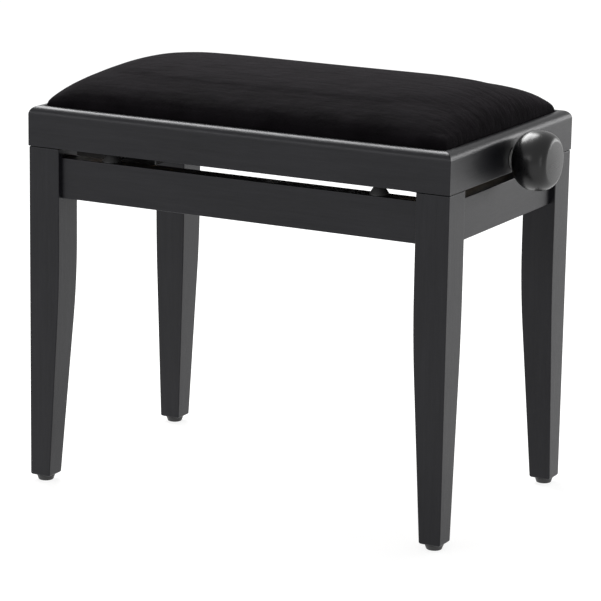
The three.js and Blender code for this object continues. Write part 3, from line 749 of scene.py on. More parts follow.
# ---- Rail screws --------------------------------------------------------------------------------
# Zinc-plated pan-head chipboard screws with a cross recess: four hold the lower rails to the aprons
# from inside, and four hold the upper rails to the seat board from below.
SCREW_HEAD = 4.5 * MM
SCREW_HEAD_HEIGHT = 2.6 * MM
SCREW_HEAD_ROUND = 1.2 * MM
SCREW_SHANK = 2.2 * MM
SCREW_SEAT = 0.35 * MM
RECESS_REACH = 2.6 * MM
RECESS_HALF = 0.45 * MM
RECESS_DEPTH = 1.5 * MM
APRON_SCREW_LENGTH = 16 * MM


def pan_head_screw(name, place, way, length):
    """Made head down on the Z axis, then stood so that it drives along way from place."""
    screw = turned(name, [
        (0, -SCREW_HEAD_HEIGHT),
        *arc(0, 0, SCREW_HEAD - 0.8 * MM, -90, -50, 4, SCREW_HEAD_HEIGHT),
        *arc(SCREW_HEAD - SCREW_HEAD_ROUND, -SCREW_HEAD_ROUND, SCREW_HEAD_ROUND, -50, 0, 4),
        (SCREW_HEAD, -0.2 * MM),
        (SCREW_HEAD - 0.2 * MM, 0),
        (SCREW_SHANK, 0),
        (SCREW_SHANK, length * 0.8),
        (0, length),
    ], steps=32)
    above, floor_z = -4 * MM, RECESS_DEPTH - SCREW_HEAD_HEIGHT
    carve(screw, weld("cross", [
        bar("blade", (-RECESS_REACH, -RECESS_HALF, above), (RECESS_REACH, RECESS_HALF, floor_z)),
        bar("blade_across", (-RECESS_HALF, -RECESS_REACH, above), (RECESS_HALF, RECESS_REACH, floor_z)),
    ]))
    alone(screw)
    screw.rotation_euler = Vector(way).to_track_quat("Z", "Y").to_euler()
    screw.location = place
    return named(name)


for side, facing in (("front", -1), ("rear", 1)):
    for end, x in screw_places.items():
        under_head = abs(apron_back) - SHEET - SCREW_SEAT
        screw = pan_head_screw(
            f"apron_screw_{side}_{end}", (x, facing * under_head, screw_z), (0, facing, 0),
            APRON_SCREW_LENGTH)
        fit(screw, f"lower_rail_screw_{side}_{end}", "base", zinc_fixing)

# ---- Fixed rod and spring caps ------------------------------------------------------------------
# A bright drawn steel rod, cut to length with chamfered ends, is the fixed lower pivot. A sprung
# zinc cap is pressed over each rod end to keep it in place.
ROD_RADIUS = 5 * MM
ROD_CHAMFER = 0.8 * MM
CAP_RADIUS = 8 * MM
CAP_HEIGHT = 2.6 * MM
CAP_BRIM = 0.8 * MM
CAP_FLARE = 0.5 * MM
CAP_SHEET = 0.6 * MM
CAP_OVERLAP = 1.2 * MM

drawn_rod = zinc("drawn_rod", "Y", 9)


def rod_along_y(name, x, y0, y1, z, radius=ROD_RADIUS):
    """A round bar with chamfered ends, lying across the bench."""
    length = abs(y1 - y0)
    return turned(name, [
        (0, 0),
        (radius - ROD_CHAMFER, 0),
        (radius, ROD_CHAMFER),
        (radius, length - ROD_CHAMFER),
        (radius - ROD_CHAMFER, length),
        (0, length),
    ], (x, min(y0, y1), z), along_y)


def spring_cap(name, body, place, facing):
    """A domed push-on cap with a flared brim, open towards the sheet behind it."""
    cap = turned(name, [
        (ROD_RADIUS + 0.05 * MM, 0),
        (CAP_RADIUS, -CAP_FLARE),
        (CAP_RADIUS + 0.2 * MM, 0),
        (ROD_RADIUS + 1.1 * MM, CAP_BRIM),
        *arc(0, CAP_BRIM, ROD_RADIUS + CAP_SHEET + 0.1 * MM, 5, 90, 6, CAP_HEIGHT - CAP_BRIM),
        (0, CAP_HEIGHT - CAP_SHEET),
        *arc(0, 0.4 * MM, ROD_RADIUS + 0.1 * MM, 90, 5, 6, CAP_HEIGHT - CAP_SHEET - 0.4 * MM),
    ], place, (0, facing, 0), 40)
    return fit(cap, None, body, zinc_fixing)


rod_low, rod_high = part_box("fixed_lower_rod")
fixed_rod = rod_along_y("fixed_pivot_rod", fixed_pivot.x, rod_low.y, rod_high.y, fixed_pivot.z)
fit(fixed_rod, "fixed_lower_rod", "base", drawn_rod)
cap_y = rod_high.y - CAP_OVERLAP
for side, facing in (("front", -1), ("rear", 1)):
    spring_cap(f"fixed_rod_cap_{side}", "base", (fixed_pivot.x, facing * cap_y, fixed_pivot.z), facing)

# ---- Seat frame ---------------------------------------------------------------------------------
# Four hardwood rails, rebated inside for the seat board and mitred at the corners. The outer top
# edge has a wide round-over, and the frame is lacquered with the legs.
EDGE_ROUND = 10 * MM
RAIL_THICKNESS = 23 * MM
RIM_WIDTH = 13.5 * MM
LEDGE_HEIGHT = 29.3 * MM
RIM_ARRIS = 1.2 * MM
LOWER_ARRIS = 0.8 * MM
MITRE_ARRIS = 0.25 * MM
MITRE_GAP = 0.05 * MM
SPINDLE_HOLE = 9 * MM


def runs_along_x(way):
    """Whether an edge of a rail's section runs along the rail."""
    return abs(way.x) > 0.99


def seat_rail(side):
    """A rail along X at the front: its section first, then the mitres, turned round to its side."""
    low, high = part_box("seat_rail_" + side)
    across = high.y - low.y if side in ("left", "right") else high.x - low.x
    half = across / 2
    tall = (low.z, high.z)
    rail = bar("rail", (-half, 0, tall[0]), (half, RIM_WIDTH, tall[1]))
    ledge = tall[0] + LEDGE_HEIGHT
    slice_at(rail, (0, 0, ledge), (0, 0, 1))
    pick(rail, "FACE", lambda place, normal: normal.y > 0.9 and place.z < ledge)
    step = (0, RAIL_THICKNESS - RIM_WIDTH, 0)
    bpy.ops.mesh.extrude_region_move(TRANSFORM_OT_translate={"value": step})
    for edge_y, edge_z, radius, segments in (
            (0, tall[1], EDGE_ROUND, 14), (RIM_WIDTH, tall[1], RIM_ARRIS, 4)):
        round_edges(
            rail, lambda p, w: runs_along_x(w) and near(p.z, edge_z) and near(p.y, edge_y),
            radius, segments)
    round_edges(rail, lambda p, w: runs_along_x(w) and near(p.z, tall[0]), LOWER_ARRIS, 4)
    mitre = half - MITRE_GAP
    for end in (-1, 1):
        slice_at(rail, (end * mitre, 0, 0), Vector((end, 1, 0)).normalized(), clear=True)
    round_edges(rail, lambda p, w: abs(p.x) > half - RAIL_THICKNESS - 1 * MM and abs(w.x) < 0.98
                and near(abs(p.x) + p.y, mitre), MITRE_ARRIS, 2)
    turns = {"front": 0, "right": 1, "rear": 2, "left": 3}[side]
    centre = (low + high) / 2
    out = {"front": low.y, "right": -high.x, "rear": -high.y, "left": low.x}[side]
    along = centre.x if side in ("front", "rear") else centre.y
    rail.data.transform(Matrix.Translation((0, out, 0)))
    rail.data.transform(Matrix.Rotation(math.radians(90 * turns), 4, "Z"))
    shift = (along, 0, 0) if side in ("front", "rear") else (0, along, 0)
    rail.data.transform(Matrix.Translation(shift))
    return rail


spindle_y = 0.0
spindle_z = middle("threaded_spindle").z
along_x = Vector((1, 0, 0))
for side in ("front", "rear", "left", "right"):
    rail = seat_rail(side)
    rail.name = rail.data.name = "mitred_rail_" + side
    if side == "right":
        rail_centre = middle("seat_rail_right")
        carve(rail, drill(SPINDLE_HOLE, (rail_centre.x, spindle_y, spindle_z), along_x, 40 * MM, 40))
    grain = lacquer_along["X" if side in ("front", "rear") else "Y"]
    fit(rail, "seat_rail_" + side, "seat", grain)
    out = (middle("seat_rail_" + side) - middle("seat_board")) * Vector((1, 1, 0))
    coat_inside(rail, lambda face: face.normal.z < -0.9 or face.normal.dot(out.normalized()) < -0.9)

# ---- Seat board ---------------------------------------------------------------------------------
# An 8 mm birch plywood board that lies on the ledge of the seat frame and carries the upholstery.
# It is cut to size, its edges are eased, and both faces are left raw.
BOARD_ARRIS = 0.6 * MM

birch = Finish("birch_plywood")
birch_figure = birch.noise(birch.place((0.12, 1, 1)), 46, 4, 0.6)
birch_pores = birch.spread(birch.noise(birch.place((0.03, 1, 1)), 900, 2), 0.5, 0.8)
birch_patch = birch.noise(birch.place(), 7, 2)
birch.shine({
    "Base Color": birch.blend(
        birch_figure * 0.6 + birch_patch * 0.3 + birch_pores * 0.25,
        shade(214, 184, 140), shade(160, 122, 82)),
    "Roughness": 0.66 + 0.14 * birch_pores,
    "Normal": birch.bump(birch_figure + birch_pores, 0.12 * MM, 0.5),
})
board_low, board_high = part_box("seat_board")
board = bar("plywood_seat_board", board_low, board_high)
ease(board, BOARD_ARRIS, 2)
fit(board, "seat_board", "seat", birch)

# ---- Cushion ------------------------------------------------------------------------------------
# A domed block of seat foam under short-pile black velvet. The velvet is pulled tight over the
# board's edges, so the pad is full over most of its top and falls steeply to the frame all round.
PAD_END_FULLNESS = 8.1
PAD_SIDE_FULLNESS = 1.95
PAD_END_RISE = 0.35
PAD_SIDE_RISE = 0.28
SWELL = 0.1 * MM
SWELL_CAP = 2 * MM
SMOOTHING_PASSES = 30
WEAVE = 4.5 * MM
FOAM_CLEAR = 0.3 * MM
BELOW_RIM = 1 * MM
STAPLED_BAND = 2 * MM
PRESSURE = 4
LAST_FRAME = 20

pad_low, pad_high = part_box("velvet_cover")
seat_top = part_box("seat_rail_front")[1].z
pad_centre = (pad_low + pad_high) / 2
pad_half = (pad_high - pad_low) / 2
pad_border = seat_top - BELOW_RIM


def dome(u, v, drop=0.0):
    """Height of the pad at a share of its half length and half depth."""
    ends = max(0.0, 1 - abs(u) ** PAD_END_FULLNESS)
    flanks = max(0.0, 1 - abs(v) ** PAD_SIDE_FULLNESS)
    fullness = ends ** PAD_END_RISE * flanks ** PAD_SIDE_RISE
    return pad_border + (pad_high.z - drop - pad_border) * fullness


def pad_blank(name, drop):
    """The upholstered block before the cloth is drawn tight, as a fine grid over its outline."""
    foam_foot = Vector((pad_low.x, pad_low.y, board_high.z + FOAM_CLEAR))
    blank = bar(name, foam_foot, (pad_high.x, pad_high.y, pad_border))
    pick(blank, "FACE", everything)
    bpy.ops.mesh.subdivide(number_cuts=5)
    bpy.ops.mesh.subdivide(number_cuts=9)
    alone(blank)
    for vertex in blank.data.vertices:
        if vertex.co.z > pad_border - 0.1 * MM:
            u = (vertex.co.x - pad_centre.x) / pad_half.x
            v = (vertex.co.y - pad_centre.y) / pad_half.y
            crowded_u = math.sin(u * math.pi / 2)
            crowded_v = math.sin(v * math.pi / 2)
            vertex.co.x = pad_centre.x + crowded_u * pad_half.x
            vertex.co.y = pad_centre.y + crowded_v * pad_half.y
            vertex.co.z = dome(crowded_u, crowded_v, drop)
    return blank


cushion = pad_blank("velvet_cushion", SWELL)
alone(cushion)
voxels = cushion.modifiers.new("voxels", "REMESH")
voxels.mode = "VOXEL"
voxels.voxel_size = WEAVE
bpy.ops.object.modifier_apply(modifier=voxels.name)


def settle_cloth(piece):
    """Blows the blank up a little inside its cloth, held all round where it is stapled down."""
    held = piece.vertex_groups.new(name="held")
    for vertex in piece.data.vertices:
        depth_in = min(
            pad_half.x - abs(vertex.co.x - pad_centre.x),
            pad_half.y - abs(vertex.co.y - pad_centre.y))
        if vertex.co.z < pad_border + 1 * MM or depth_in < STAPLED_BAND:
            held.add([vertex.index], 1.0, "REPLACE")
    before = np.array([v.co for v in piece.data.vertices])
    cloth = piece.modifiers.new("cloth", "CLOTH")
    cloth.settings.use_pressure = True
    cloth.settings.uniform_pressure_force = PRESSURE
    cloth.settings.vertex_group_mass = "held"
    cloth.settings.effector_weights.gravity = 0
    cloth.settings.quality = 5
    cloth.point_cache.frame_start = 1
    cloth.point_cache.frame_end = LAST_FRAME
    for step in range(1, LAST_FRAME + 1):
        bpy.context.scene.frame_set(step)
    alone(piece)
    bpy.ops.object.modifier_apply(modifier=cloth.name)
    after = np.array([v.co for v in piece.data.vertices])
    moved = after - before
    ends = np.array([e.vertices[:] for e in piece.data.edges])
    meets = np.maximum(np.bincount(ends.ravel(), minlength=len(before)), 1)[:, None]
    for _ in range(SMOOTHING_PASSES):
        pull = np.zeros_like(moved)
        np.add.at(pull, ends[:, 0], moved[ends[:, 1]])
        np.add.at(pull, ends[:, 1], moved[ends[:, 0]])
        moved = (moved + pull / meets) / 2
    length = np.linalg.norm(moved, axis=1, keepdims=True)
    moved *= np.minimum(1, SWELL_CAP / np.maximum(length, 1e-9))
    piece.data.vertices.foreach_set("co", (before + moved).ravel())
    bpy.context.scene.frame_set(1)


settle_cloth(cushion)

alone(cushion)
smoothing = cushion.modifiers.new("even", "SMOOTH")
smoothing.factor = 0.5
smoothing.iterations = 2
bpy.ops.object.modifier_apply(modifier=smoothing.name)
finer = cushion.modifiers.new("finer", "SUBSURF")
finer.levels = finer.render_levels = 1
bpy.ops.object.modifier_apply(modifier=finer.name)
bpy.ops.object.shade_smooth()

velvet = Finish("black_velvet")
nap = velvet.noise(velvet.place(), 26, 3, 0.55)
brushed = velvet.noise(velvet.place((0.5, 1.6, 1)), 60, 3, 0.5)
pile = velvet.noise(velvet.place(), 2600, 2, 0.7)
tufts = velvet.noise(velvet.place(), 520, 2, 0.6)
lay = velvet.spread(nap * 0.6 + brushed * 0.4, 0.35, 0.65)
velvet.shine({
    "Base Color": velvet.blend(
        lay * 0.6 + pile * 0.4, (0.0013, 0.001, 0.0013, 1), (0.0052, 0.0044, 0.0054, 1)),
    "Roughness": 0.86 + 0.1 * pile,
    "Specular IOR Level": 0.03,
    "Sheen Weight": 0.0125,
    "Sheen Roughness": 0.35,
    "Sheen Tint": (0.98, 0.82, 1, 1),
    "Normal": velvet.bump(pile * 0.5 + tufts * 0.6 + lay * 3.2, 0.45 * MM, 0.9),
})
cushion.data.materials.clear()
cushion.data.materials.append(velvet.material)
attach(cushion, "seat")
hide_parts("velvet_cover", "foam_pad")

# ---- Cover hem and staples ----------------------------------------------------------------------
# The velvet's edge, drawn down round the board, folded under it and stapled. It lies thin on the
# frame's ledge, thicker inside it, and is cut away for the spindle's bearing plate.
HEM_THICKNESS = 0.85 * MM
HEM_WIDTH = 10 * MM
HEM_ON_LEDGE = 0.15 * MM
HEM_FIT = 0.3 * MM
PLATE_NOTCH = 27 * MM
STAPLE_GAP = 46 * MM
STAPLE_CROWN = Vector((10, 1.1, 0.5)) * MM
STAPLE_SUNK = 0.15 * MM
STAPLE_TURN = 14
HEM_SNUG = Vector((0.15, 0.15, 0)) * MM

ledge_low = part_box("seat_rail_left")[0] + Vector((RAIL_THICKNESS, 0, 0))
ledge_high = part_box("seat_rail_right")[1] - Vector((RAIL_THICKNESS, 0, 0))
front_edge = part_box("seat_rail_front")[0].y + RAIL_THICKNESS
rear_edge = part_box("seat_rail_rear")[1].y - RAIL_THICKNESS
inside_low = Vector((ledge_low.x + HEM_FIT, front_edge + HEM_FIT, 0))
inside_high = Vector((ledge_high.x - HEM_FIT, rear_edge - HEM_FIT, 0))
hem_top = board_low.z - 0.05 * MM
hem_foot = hem_top - HEM_THICKNESS
hem = bar("cover_hem", (pad_low.x, pad_low.y, hem_foot), (pad_high.x, pad_high.y, board_high.z))
carve(hem, bar(
    "board_room", (*(board_low - HEM_SNUG).xy, hem_top),
    (*(board_high + HEM_SNUG).xy, board_high.z + MM)))
tuck = Vector((HEM_WIDTH, HEM_WIDTH, 0))
carve(hem, bar(
    "opening", (*(inside_low + tuck).xy, hem_foot - MM), (*(inside_high - tuck).xy, hem_top + MM)))
ledge_room = bar(
    "ledge_room", (pad_low.x - MM, pad_low.y - MM, hem_foot - MM),
    (pad_high.x + MM, pad_high.y + MM, hem_top - HEM_ON_LEDGE))
carve(ledge_room, bar("inside", (*inside_low.xy, hem_foot - 2 * MM), (*inside_high.xy, hem_top + MM)))
carve(hem, ledge_room)
carve(hem, bar("plate_room", (inside_high.x - HEM_WIDTH - MM, -PLATE_NOTCH, hem_foot - MM),
               (ledge_high.x - 0.1 * MM, PLATE_NOTCH, hem_top + 0.02 * MM)))
fit(hem, None, "seat", velvet)

staple_wire = bar("staple", -STAPLE_CROWN / 2, STAPLE_CROWN / 2)
ease(staple_wire, 0.2 * MM, 2)
turn = random.Random(8)
middle_low = inside_low + tuck / 2
middle_high = inside_high - tuck / 2


def spaced(start, end):
    """Places for staples along a stretch of the hem."""
    count = round((end - start) / STAPLE_GAP)
    return [start + (end - start) * (i + 0.5) / count for i in range(count)]


staple_xs = spaced(middle_low.x, middle_high.x)
staple_ys = spaced(middle_low.y, middle_high.y)
clear_of_plate = [y for y in staple_ys if abs(y) > PLATE_NOTCH + STAPLE_CROWN.x]
spots = [(x, y, 0) for y in (middle_low.y, middle_high.y) for x in staple_xs]
spots += [(middle_low.x, y, 90) for y in staple_ys]
spots += [(middle_high.x, y, 90) for y in clear_of_plate]
staples = []
for x, y, heading in spots:
    bend = math.radians(heading + turn.uniform(-STAPLE_TURN, STAPLE_TURN))
    place = Matrix.Translation((x, y, hem_foot - STAPLE_SUNK)) @ Matrix.Rotation(bend, 4, "Z")
    staples.append(copied(staple_wire, "staple_at", place))
bpy.data.objects.remove(staple_wire)
alone(staples[0])
for staple in staples:
    staple.select_set(True)
bpy.ops.object.join()
fit(named("cover_staples"), None, "seat", zinc_fixing)

# ---- Upper rails --------------------------------------------------------------------------------
# Two steel angles screwed to the underside of the seat board. The upright flange is drilled for the
# fixed pivot pin and slotted for the spindle nut's trunnion.
BOARD_SCREW_LENGTH = 9 * MM

upper_low, upper_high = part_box("upper_rail_front")
upper_rail = bar("angle_rail_front", upper_low, (upper_high.x, upper_low.y + SHEET, upper_high.z))
weld("angle_rail_front", [
    upper_rail,
    bar("flange", (upper_low.x, upper_low.y, upper_high.z - SHEET), upper_high),
])
upper_screws = [middle("upper_rail_screw_front_" + end) for end in ("left", "right")]
carve(upper_rail, slot_tool(nut_middle.z, upper_low.y - SHEET, upper_low.y + 2 * SHEET))
carve(upper_rail, drill(PIVOT_HOLE, (upper_pivot.x, upper_low.y, upper_pivot.z), along_y, 4 * SHEET))
for place in upper_screws:
    carve(upper_rail, drill(SCREW_HOLE, (place.x, place.y, upper_high.z), (0, 0, 1), 4 * SHEET, 20))
round_edges(
    upper_rail,
    lambda p, w: runs_along_x(w) and near(p.y, upper_low.y) and near(p.z, upper_high.z),
    PRESS_RADIUS, 5)
ease(upper_rail, SHEAR_EDGE, 2)
rear_upper = copied(upper_rail, "angle_rail_rear", flip_y)
fit(upper_rail, "upper_rail_front", "seat", powder)
fit(rear_upper, "upper_rail_rear", "seat", powder)
for side, facing in (("front", 1), ("rear", -1)):
    for end, place in zip(("left", "right"), upper_screws):
        under_head = (place.x, facing * place.y, upper_high.z - SHEET - SCREW_SEAT)
        seat_screw = pan_head_screw(
            f"board_screw_{side}_{end}", under_head, (0, 0, 1), BOARD_SCREW_LENGTH)
        fit(seat_screw, f"upper_rail_screw_{side}_{end}", "seat", zinc_fixing)
    low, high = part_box("upper_pivot_pin_" + side)
    pin = rod_along_y(f"pivot_pin_{side}", upper_pivot.x, low.y, high.y, upper_pivot.z)
    fit(pin, "upper_pivot_pin_" + side, "seat", drawn_rod)
    inner_end = high.y if side == "front" else low.y
    spring_cap(f"pivot_pin_cap_{side}", "seat",
               (upper_pivot.x, inner_end - facing * CAP_OVERLAP, upper_pivot.z), facing)

# ---- Bearing plate ------------------------------------------------------------------------------
# A steel plate screwed to the inside of the right rail. The spindle turns in its middle hole, and
# the collar behind it takes the pull of the thread.
PLATE_CORNER = 3 * MM
PLATE_HOLE = 7.4 * MM
PLATE_SCREW_Y = 18.5 * MM
PLATE_SCREW_Z = 6.5 * MM
PLATE_SCREW_LENGTH = 12 * MM

plate_low, plate_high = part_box("spindle_bearing_plate")
plate = bar("bearing_plate", plate_low, plate_high)
round_edges(plate, lambda p, w: abs(w.x) > 0.9, PLATE_CORNER, 5)
carve(plate, drill(PLATE_HOLE, (plate_low.x, spindle_y, spindle_z), along_x, 12 * MM, 40))
ease(plate, SHEAR_EDGE, 2)
fit(plate, "spindle_bearing_plate", "seat", powder)
for i, (y, z) in enumerate([(-1, -1), (-1, 1), (1, -1), (1, 1)]):
    place = (plate_low.x - 0.1 * MM, y * PLATE_SCREW_Y, spindle_z + z * PLATE_SCREW_Z)
    plate_screw = pan_head_screw(f"bearing_plate_screw_{i + 1}", place, along_x, PLATE_SCREW_LENGTH)
    fit(plate_screw, None, "seat", zinc_fixing)

# ---- Spindle ------------------------------------------------------------------------------------
# A 14 mm zinc-plated steel spindle with a 2 mm right-hand thread rolled along it up to the collar,
# and a plain end that passes through the plate and the rail into the knob.
SPINDLE_PITCH = 2 * MM
THREAD_END_BEFORE_COLLAR = 6 * MM
SPINDLE_CHAMFER = 1.4 * MM
SPINDLE_OVERLAP = 1 * MM
THREAD_RUNOUT = 1.2 * MM

spindle_low, spindle_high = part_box("threaded_spindle")
spindle_radius = (spindle_high.z - spindle_low.z) / 2
collar_low, collar_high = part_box("spindle_collar")
thread_end = collar_low.x - THREAD_END_BEFORE_COLLAR
thread_start = spindle_low.x + SPINDLE_CHAMFER
lead_in = spindle_radius - THREAD_DEPTH_PER_PITCH * SPINDLE_PITCH
thread = threaded(
    "lead_screw", spindle_radius - 0.05 * MM, SPINDLE_PITCH, thread_end - thread_start,
    (thread_start, spindle_y, spindle_z), along_x, 16)
core = lead_in - 0.1 * MM
tip = turned("tip", [
    (0, 0),
    (lead_in - 1 * MM, 0),
    (core, SPINDLE_CHAMFER),
    (core, SPINDLE_CHAMFER + SPINDLE_OVERLAP),
    (0, SPINDLE_CHAMFER + SPINDLE_OVERLAP),
], (spindle_low.x, spindle_y, spindle_z), along_x, 32)
shank_length = spindle_high.x - thread_end
shank = turned("shank", [
    (0, -SPINDLE_OVERLAP),
    (core, -SPINDLE_OVERLAP),
    (core, 0),
    (spindle_radius, THREAD_RUNOUT),
    (spindle_radius, shank_length),
    (0, shank_length),
], (thread_end, spindle_y, spindle_z), along_x, 48)
rolled_steel = zinc("rolled_thread", "X", 6)
spindle = weld("lead_screw", [thread, tip, shank])
fit(spindle, "threaded_spindle", "spindle", rolled_steel)

# ---- Collar and thrust washer -------------------------------------------------------------------
# A turned steel collar, locked to the spindle by a hexagon socket screw, and a plain steel washer
# between the frame and the knob.
COLLAR_CHAMFER = 0.9 * MM
GRUB_HOLE = 2.6 * MM
GRUB_RADIUS = 2.5 * MM
GRUB_LENGTH = 2.2 * MM
GRUB_DEPTH = 3 * MM
SOCKET_RADIUS = 1.4 * MM
SOCKET_FLOOR = 0.8 * MM
WASHER_CHAMFER = 0.3 * MM
SPINDLE_FIT = 0.1 * MM

bore = spindle_radius + SPINDLE_FIT
collar_radius = (collar_high.z - collar_low.z) / 2
collar_length = collar_high.x - collar_low.x
collar = turned("locking_collar", [
    (bore, 0),
    (collar_radius - COLLAR_CHAMFER, 0),
    (collar_radius, COLLAR_CHAMFER),
    (collar_radius, collar_length - COLLAR_CHAMFER),
    (collar_radius - COLLAR_CHAMFER, collar_length),
    (bore, collar_length),
    (bore, 0),
], (collar_low.x, spindle_y, spindle_z), along_x)
collar_middle = Vector(((collar_low.x + collar_high.x) / 2, spindle_y, spindle_z))
down = Vector((0, 0, -1))
carve(collar, drill(GRUB_HOLE, collar_middle + down * collar_radius, down, 2 * MM, 24))
fit(collar, "spindle_collar", "spindle", rolled_steel)
grub_foot = collar_middle + down * (collar_radius - GRUB_DEPTH)
grub = turned("collar_grub_screw", [
    (0, 0), (GRUB_RADIUS, 0), (GRUB_RADIUS, GRUB_LENGTH), (0, GRUB_LENGTH),
], grub_foot, down, 24)
carve(grub, turned("socket", [
    (0, SOCKET_FLOOR), (SOCKET_RADIUS, SOCKET_FLOOR), (SOCKET_RADIUS, 4 * MM), (0, 4 * MM),
], grub_foot, down, 6))
fit(grub, None, "spindle", powder)

washer_low, washer_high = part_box("thrust_washer")
washer_radius = (washer_high.z - washer_low.z) / 2
washer_length = washer_high.x - washer_low.x
thrust_washer = turned("knob_washer", [
    (bore, 0),
    (washer_radius - WASHER_CHAMFER, 0),
    (washer_radius, WASHER_CHAMFER),
    (washer_radius, washer_length - WASHER_CHAMFER),
    (washer_radius - WASHER_CHAMFER, washer_length),
    (bore, washer_length),
    (bore, 0),
], (washer_low.x, spindle_y, spindle_z), along_x)
fit(thrust_washer, "thrust_washer", "spindle", rolled_steel)

# ---- Knob ---------------------------------------------------------------------------------------
# A solid moulded knob in satin black plastic, pinned to the spindle. Its back swells from a narrow
# neck to the full radius, and its front shoulder rounds over to an almost flat end face.
KNOB_FACE_RADIUS = 23 * MM
KNOB_FACE_ROUND = 21 * MM
KNOB_BACK_ROUND = 24 * MM
KNOB_NECK_RADIUS = 11 * MM
KNOB_DOME = 1 * MM
KNOB_FACE_RINGS = 6

knob_low, knob_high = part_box("knob")
knob_radius = (knob_high.z - knob_low.z) / 2
knob_length = knob_high.x - knob_low.x
face_shares = [1 - i / KNOB_FACE_RINGS for i in range(1, KNOB_FACE_RINGS + 1)]
knob = turned("turning_knob", [
    (0, 0),
    (KNOB_NECK_RADIUS, 0),
    *arc(KNOB_NECK_RADIUS, KNOB_BACK_ROUND, knob_radius - KNOB_NECK_RADIUS, -90, 0, 18,
         KNOB_BACK_ROUND),
    *arc(KNOB_FACE_RADIUS, knob_length - KNOB_FACE_ROUND, knob_radius - KNOB_FACE_RADIUS, 0, 90, 18,
         KNOB_FACE_ROUND - KNOB_DOME),
    *[(KNOB_FACE_RADIUS * share, knob_length - KNOB_DOME * share ** 2) for share in face_shares],
], (knob_low.x, spindle_y, spindle_z), along_x, 96)
pick(knob, "FACE", everything)
bpy.ops.mesh.remove_doubles(threshold=0.01 * MM)
alone(knob)
satin_plastic = moulded("satin_knob_plastic", shade(4, 4, 5), 0.2, grain=700, depth=0.02, index=1.42)
fit(knob, "knob", "spindle", satin_plastic)

# ---- Scissor arms -------------------------------------------------------------------------------
# Two pairs of flat steel bars with round ends, blanked and powder-coated. The outer arms turn on the
# fixed lower rod and carry the nut; the inner ones hang from the seat's pins and slide below.
ARM_HALF_HEIGHT = 8 * MM
ARM_EDGE = 0.5 * MM
TURNING_HOLE = 5.4 * MM
TIGHT_HOLE = 5.05 * MM
OPEN_HOLE = 6.3 * MM
RIVET_HEAD_RADIUS = 7.4 * MM
RIVET_HEAD_DOME = 2 * MM
SPACER_RADIUS = 9 * MM
SPACER_GAP = 0.15 * MM
SPACER_THICKNESS = 1.2 * MM


def scissor_arm(name, start, end, y0, y1, holes):
    """A flat bar from one pivot to the other, with a hole at each end and in the middle."""
    length = (end - start).length
    half = ARM_HALF_HEIGHT
    arm = bar(name, (-half, y0, -half), (length + half, y1, half))
    round_edges(arm, lambda p, w: abs(w.y) > 0.9, half * FULL_ROUND, 10)
    for i, radius in enumerate(holes):
        carve(arm, drill(radius, (length * i / 2, (y0 + y1) / 2, 0), along_y, 20 * MM))
    ease(arm, ARM_EDGE, 2)
    tilt = math.atan2(end.z - start.z, end.x - start.x)
    arm.data.transform(Matrix.Translation((start.x, 0, start.z)) @ Matrix.Rotation(-tilt, 4, "Y"))
    return arm


lower_fixed = Vector((fixed_pivot.x, 0, fixed_pivot.z))
lower_slide = Vector((slide_pivot.x, 0, slide_pivot.z))
upper_fixed = Vector((upper_pivot.x, 0, upper_pivot.z))
upper_slide = Vector((slide_pivot.x, 0, nut_middle.z))
centre_pin = middle("centre_pin_front")
for side, facing in (("front", -1), ("rear", 1)):
    outer_low, outer_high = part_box("outer_arm_" + side)
    outer_arm = scissor_arm(
        "outer_bar_" + side, lower_fixed, upper_slide, outer_low.y, outer_high.y,
        (TURNING_HOLE, TIGHT_HOLE, TURNING_HOLE))
    fit(outer_arm, "outer_arm_" + side, "outer_arms", powder)
    inner_low, inner_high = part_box("inner_arm_" + side)
    inner_arm = scissor_arm(
        "inner_bar_" + side, upper_fixed, lower_slide, inner_low.y, inner_high.y,
        (TURNING_HOLE, OPEN_HOLE, TIGHT_HOLE))
    fit(inner_arm, "inner_arm_" + side, "inner_arms", powder)
    pin_low, pin_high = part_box("centre_pin_" + side)
    outer_face = facing * max(abs(pin_low.y), abs(pin_high.y))
    inner_face = facing * min(abs(pin_low.y), abs(pin_high.y))
    rivet = weld("centre_rivet_" + side, [
        rod_along_y("rivet", centre_pin.x, inner_face, outer_face, centre_pin.z),
        turned("rivet_head", [
            (0, -0.5 * MM),
            (RIVET_HEAD_RADIUS, -0.5 * MM),
            (RIVET_HEAD_RADIUS + 0.1 * MM, 0.2 * MM),
            *arc(0, 0.4 * MM, RIVET_HEAD_RADIUS, 0, 90, 7, RIVET_HEAD_DOME),
        ], (centre_pin.x, outer_face, centre_pin.z), (0, facing, 0), 40),
    ])
    fit(rivet, "centre_pin_" + side, "outer_arms", zinc_fixing)
    between = facing * max(abs(inner_low.y), abs(inner_high.y))
    spacer_bore = ROD_RADIUS + 0.1 * MM
    spacer = turned("centre_spacer_" + side, [
        (spacer_bore, SPACER_GAP),
        (SPACER_RADIUS, SPACER_GAP),
        (SPACER_RADIUS, SPACER_GAP + SPACER_THICKNESS),
        (spacer_bore, SPACER_GAP + SPACER_THICKNESS),
        (spacer_bore, SPACER_GAP),
    ], (centre_pin.x, between, centre_pin.z), (0, facing, 0), 36)
    fit(spacer, None, "outer_arms", foot_plastic)

# ---- Sliding rod --------------------------------------------------------------------------------
# The same drawn rod as the fixed one. It joins the lower ends of the inner arms, and slides in the
# slotted ears of the lower rails.
slide_low, slide_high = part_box("lower_slide_rod")
slide_rod = rod_along_y("sliding_rod", slide_pivot.x, slide_low.y, slide_high.y, slide_pivot.z)
fit(slide_rod, "lower_slide_rod", "inner_arms", drawn_rod)
for side, facing in (("front", -1), ("rear", 1)):
    spring_cap(f"sliding_rod_cap_{side}", "inner_arms",
               (slide_pivot.x, facing * (slide_high.y - CAP_OVERLAP), slide_pivot.z), facing)

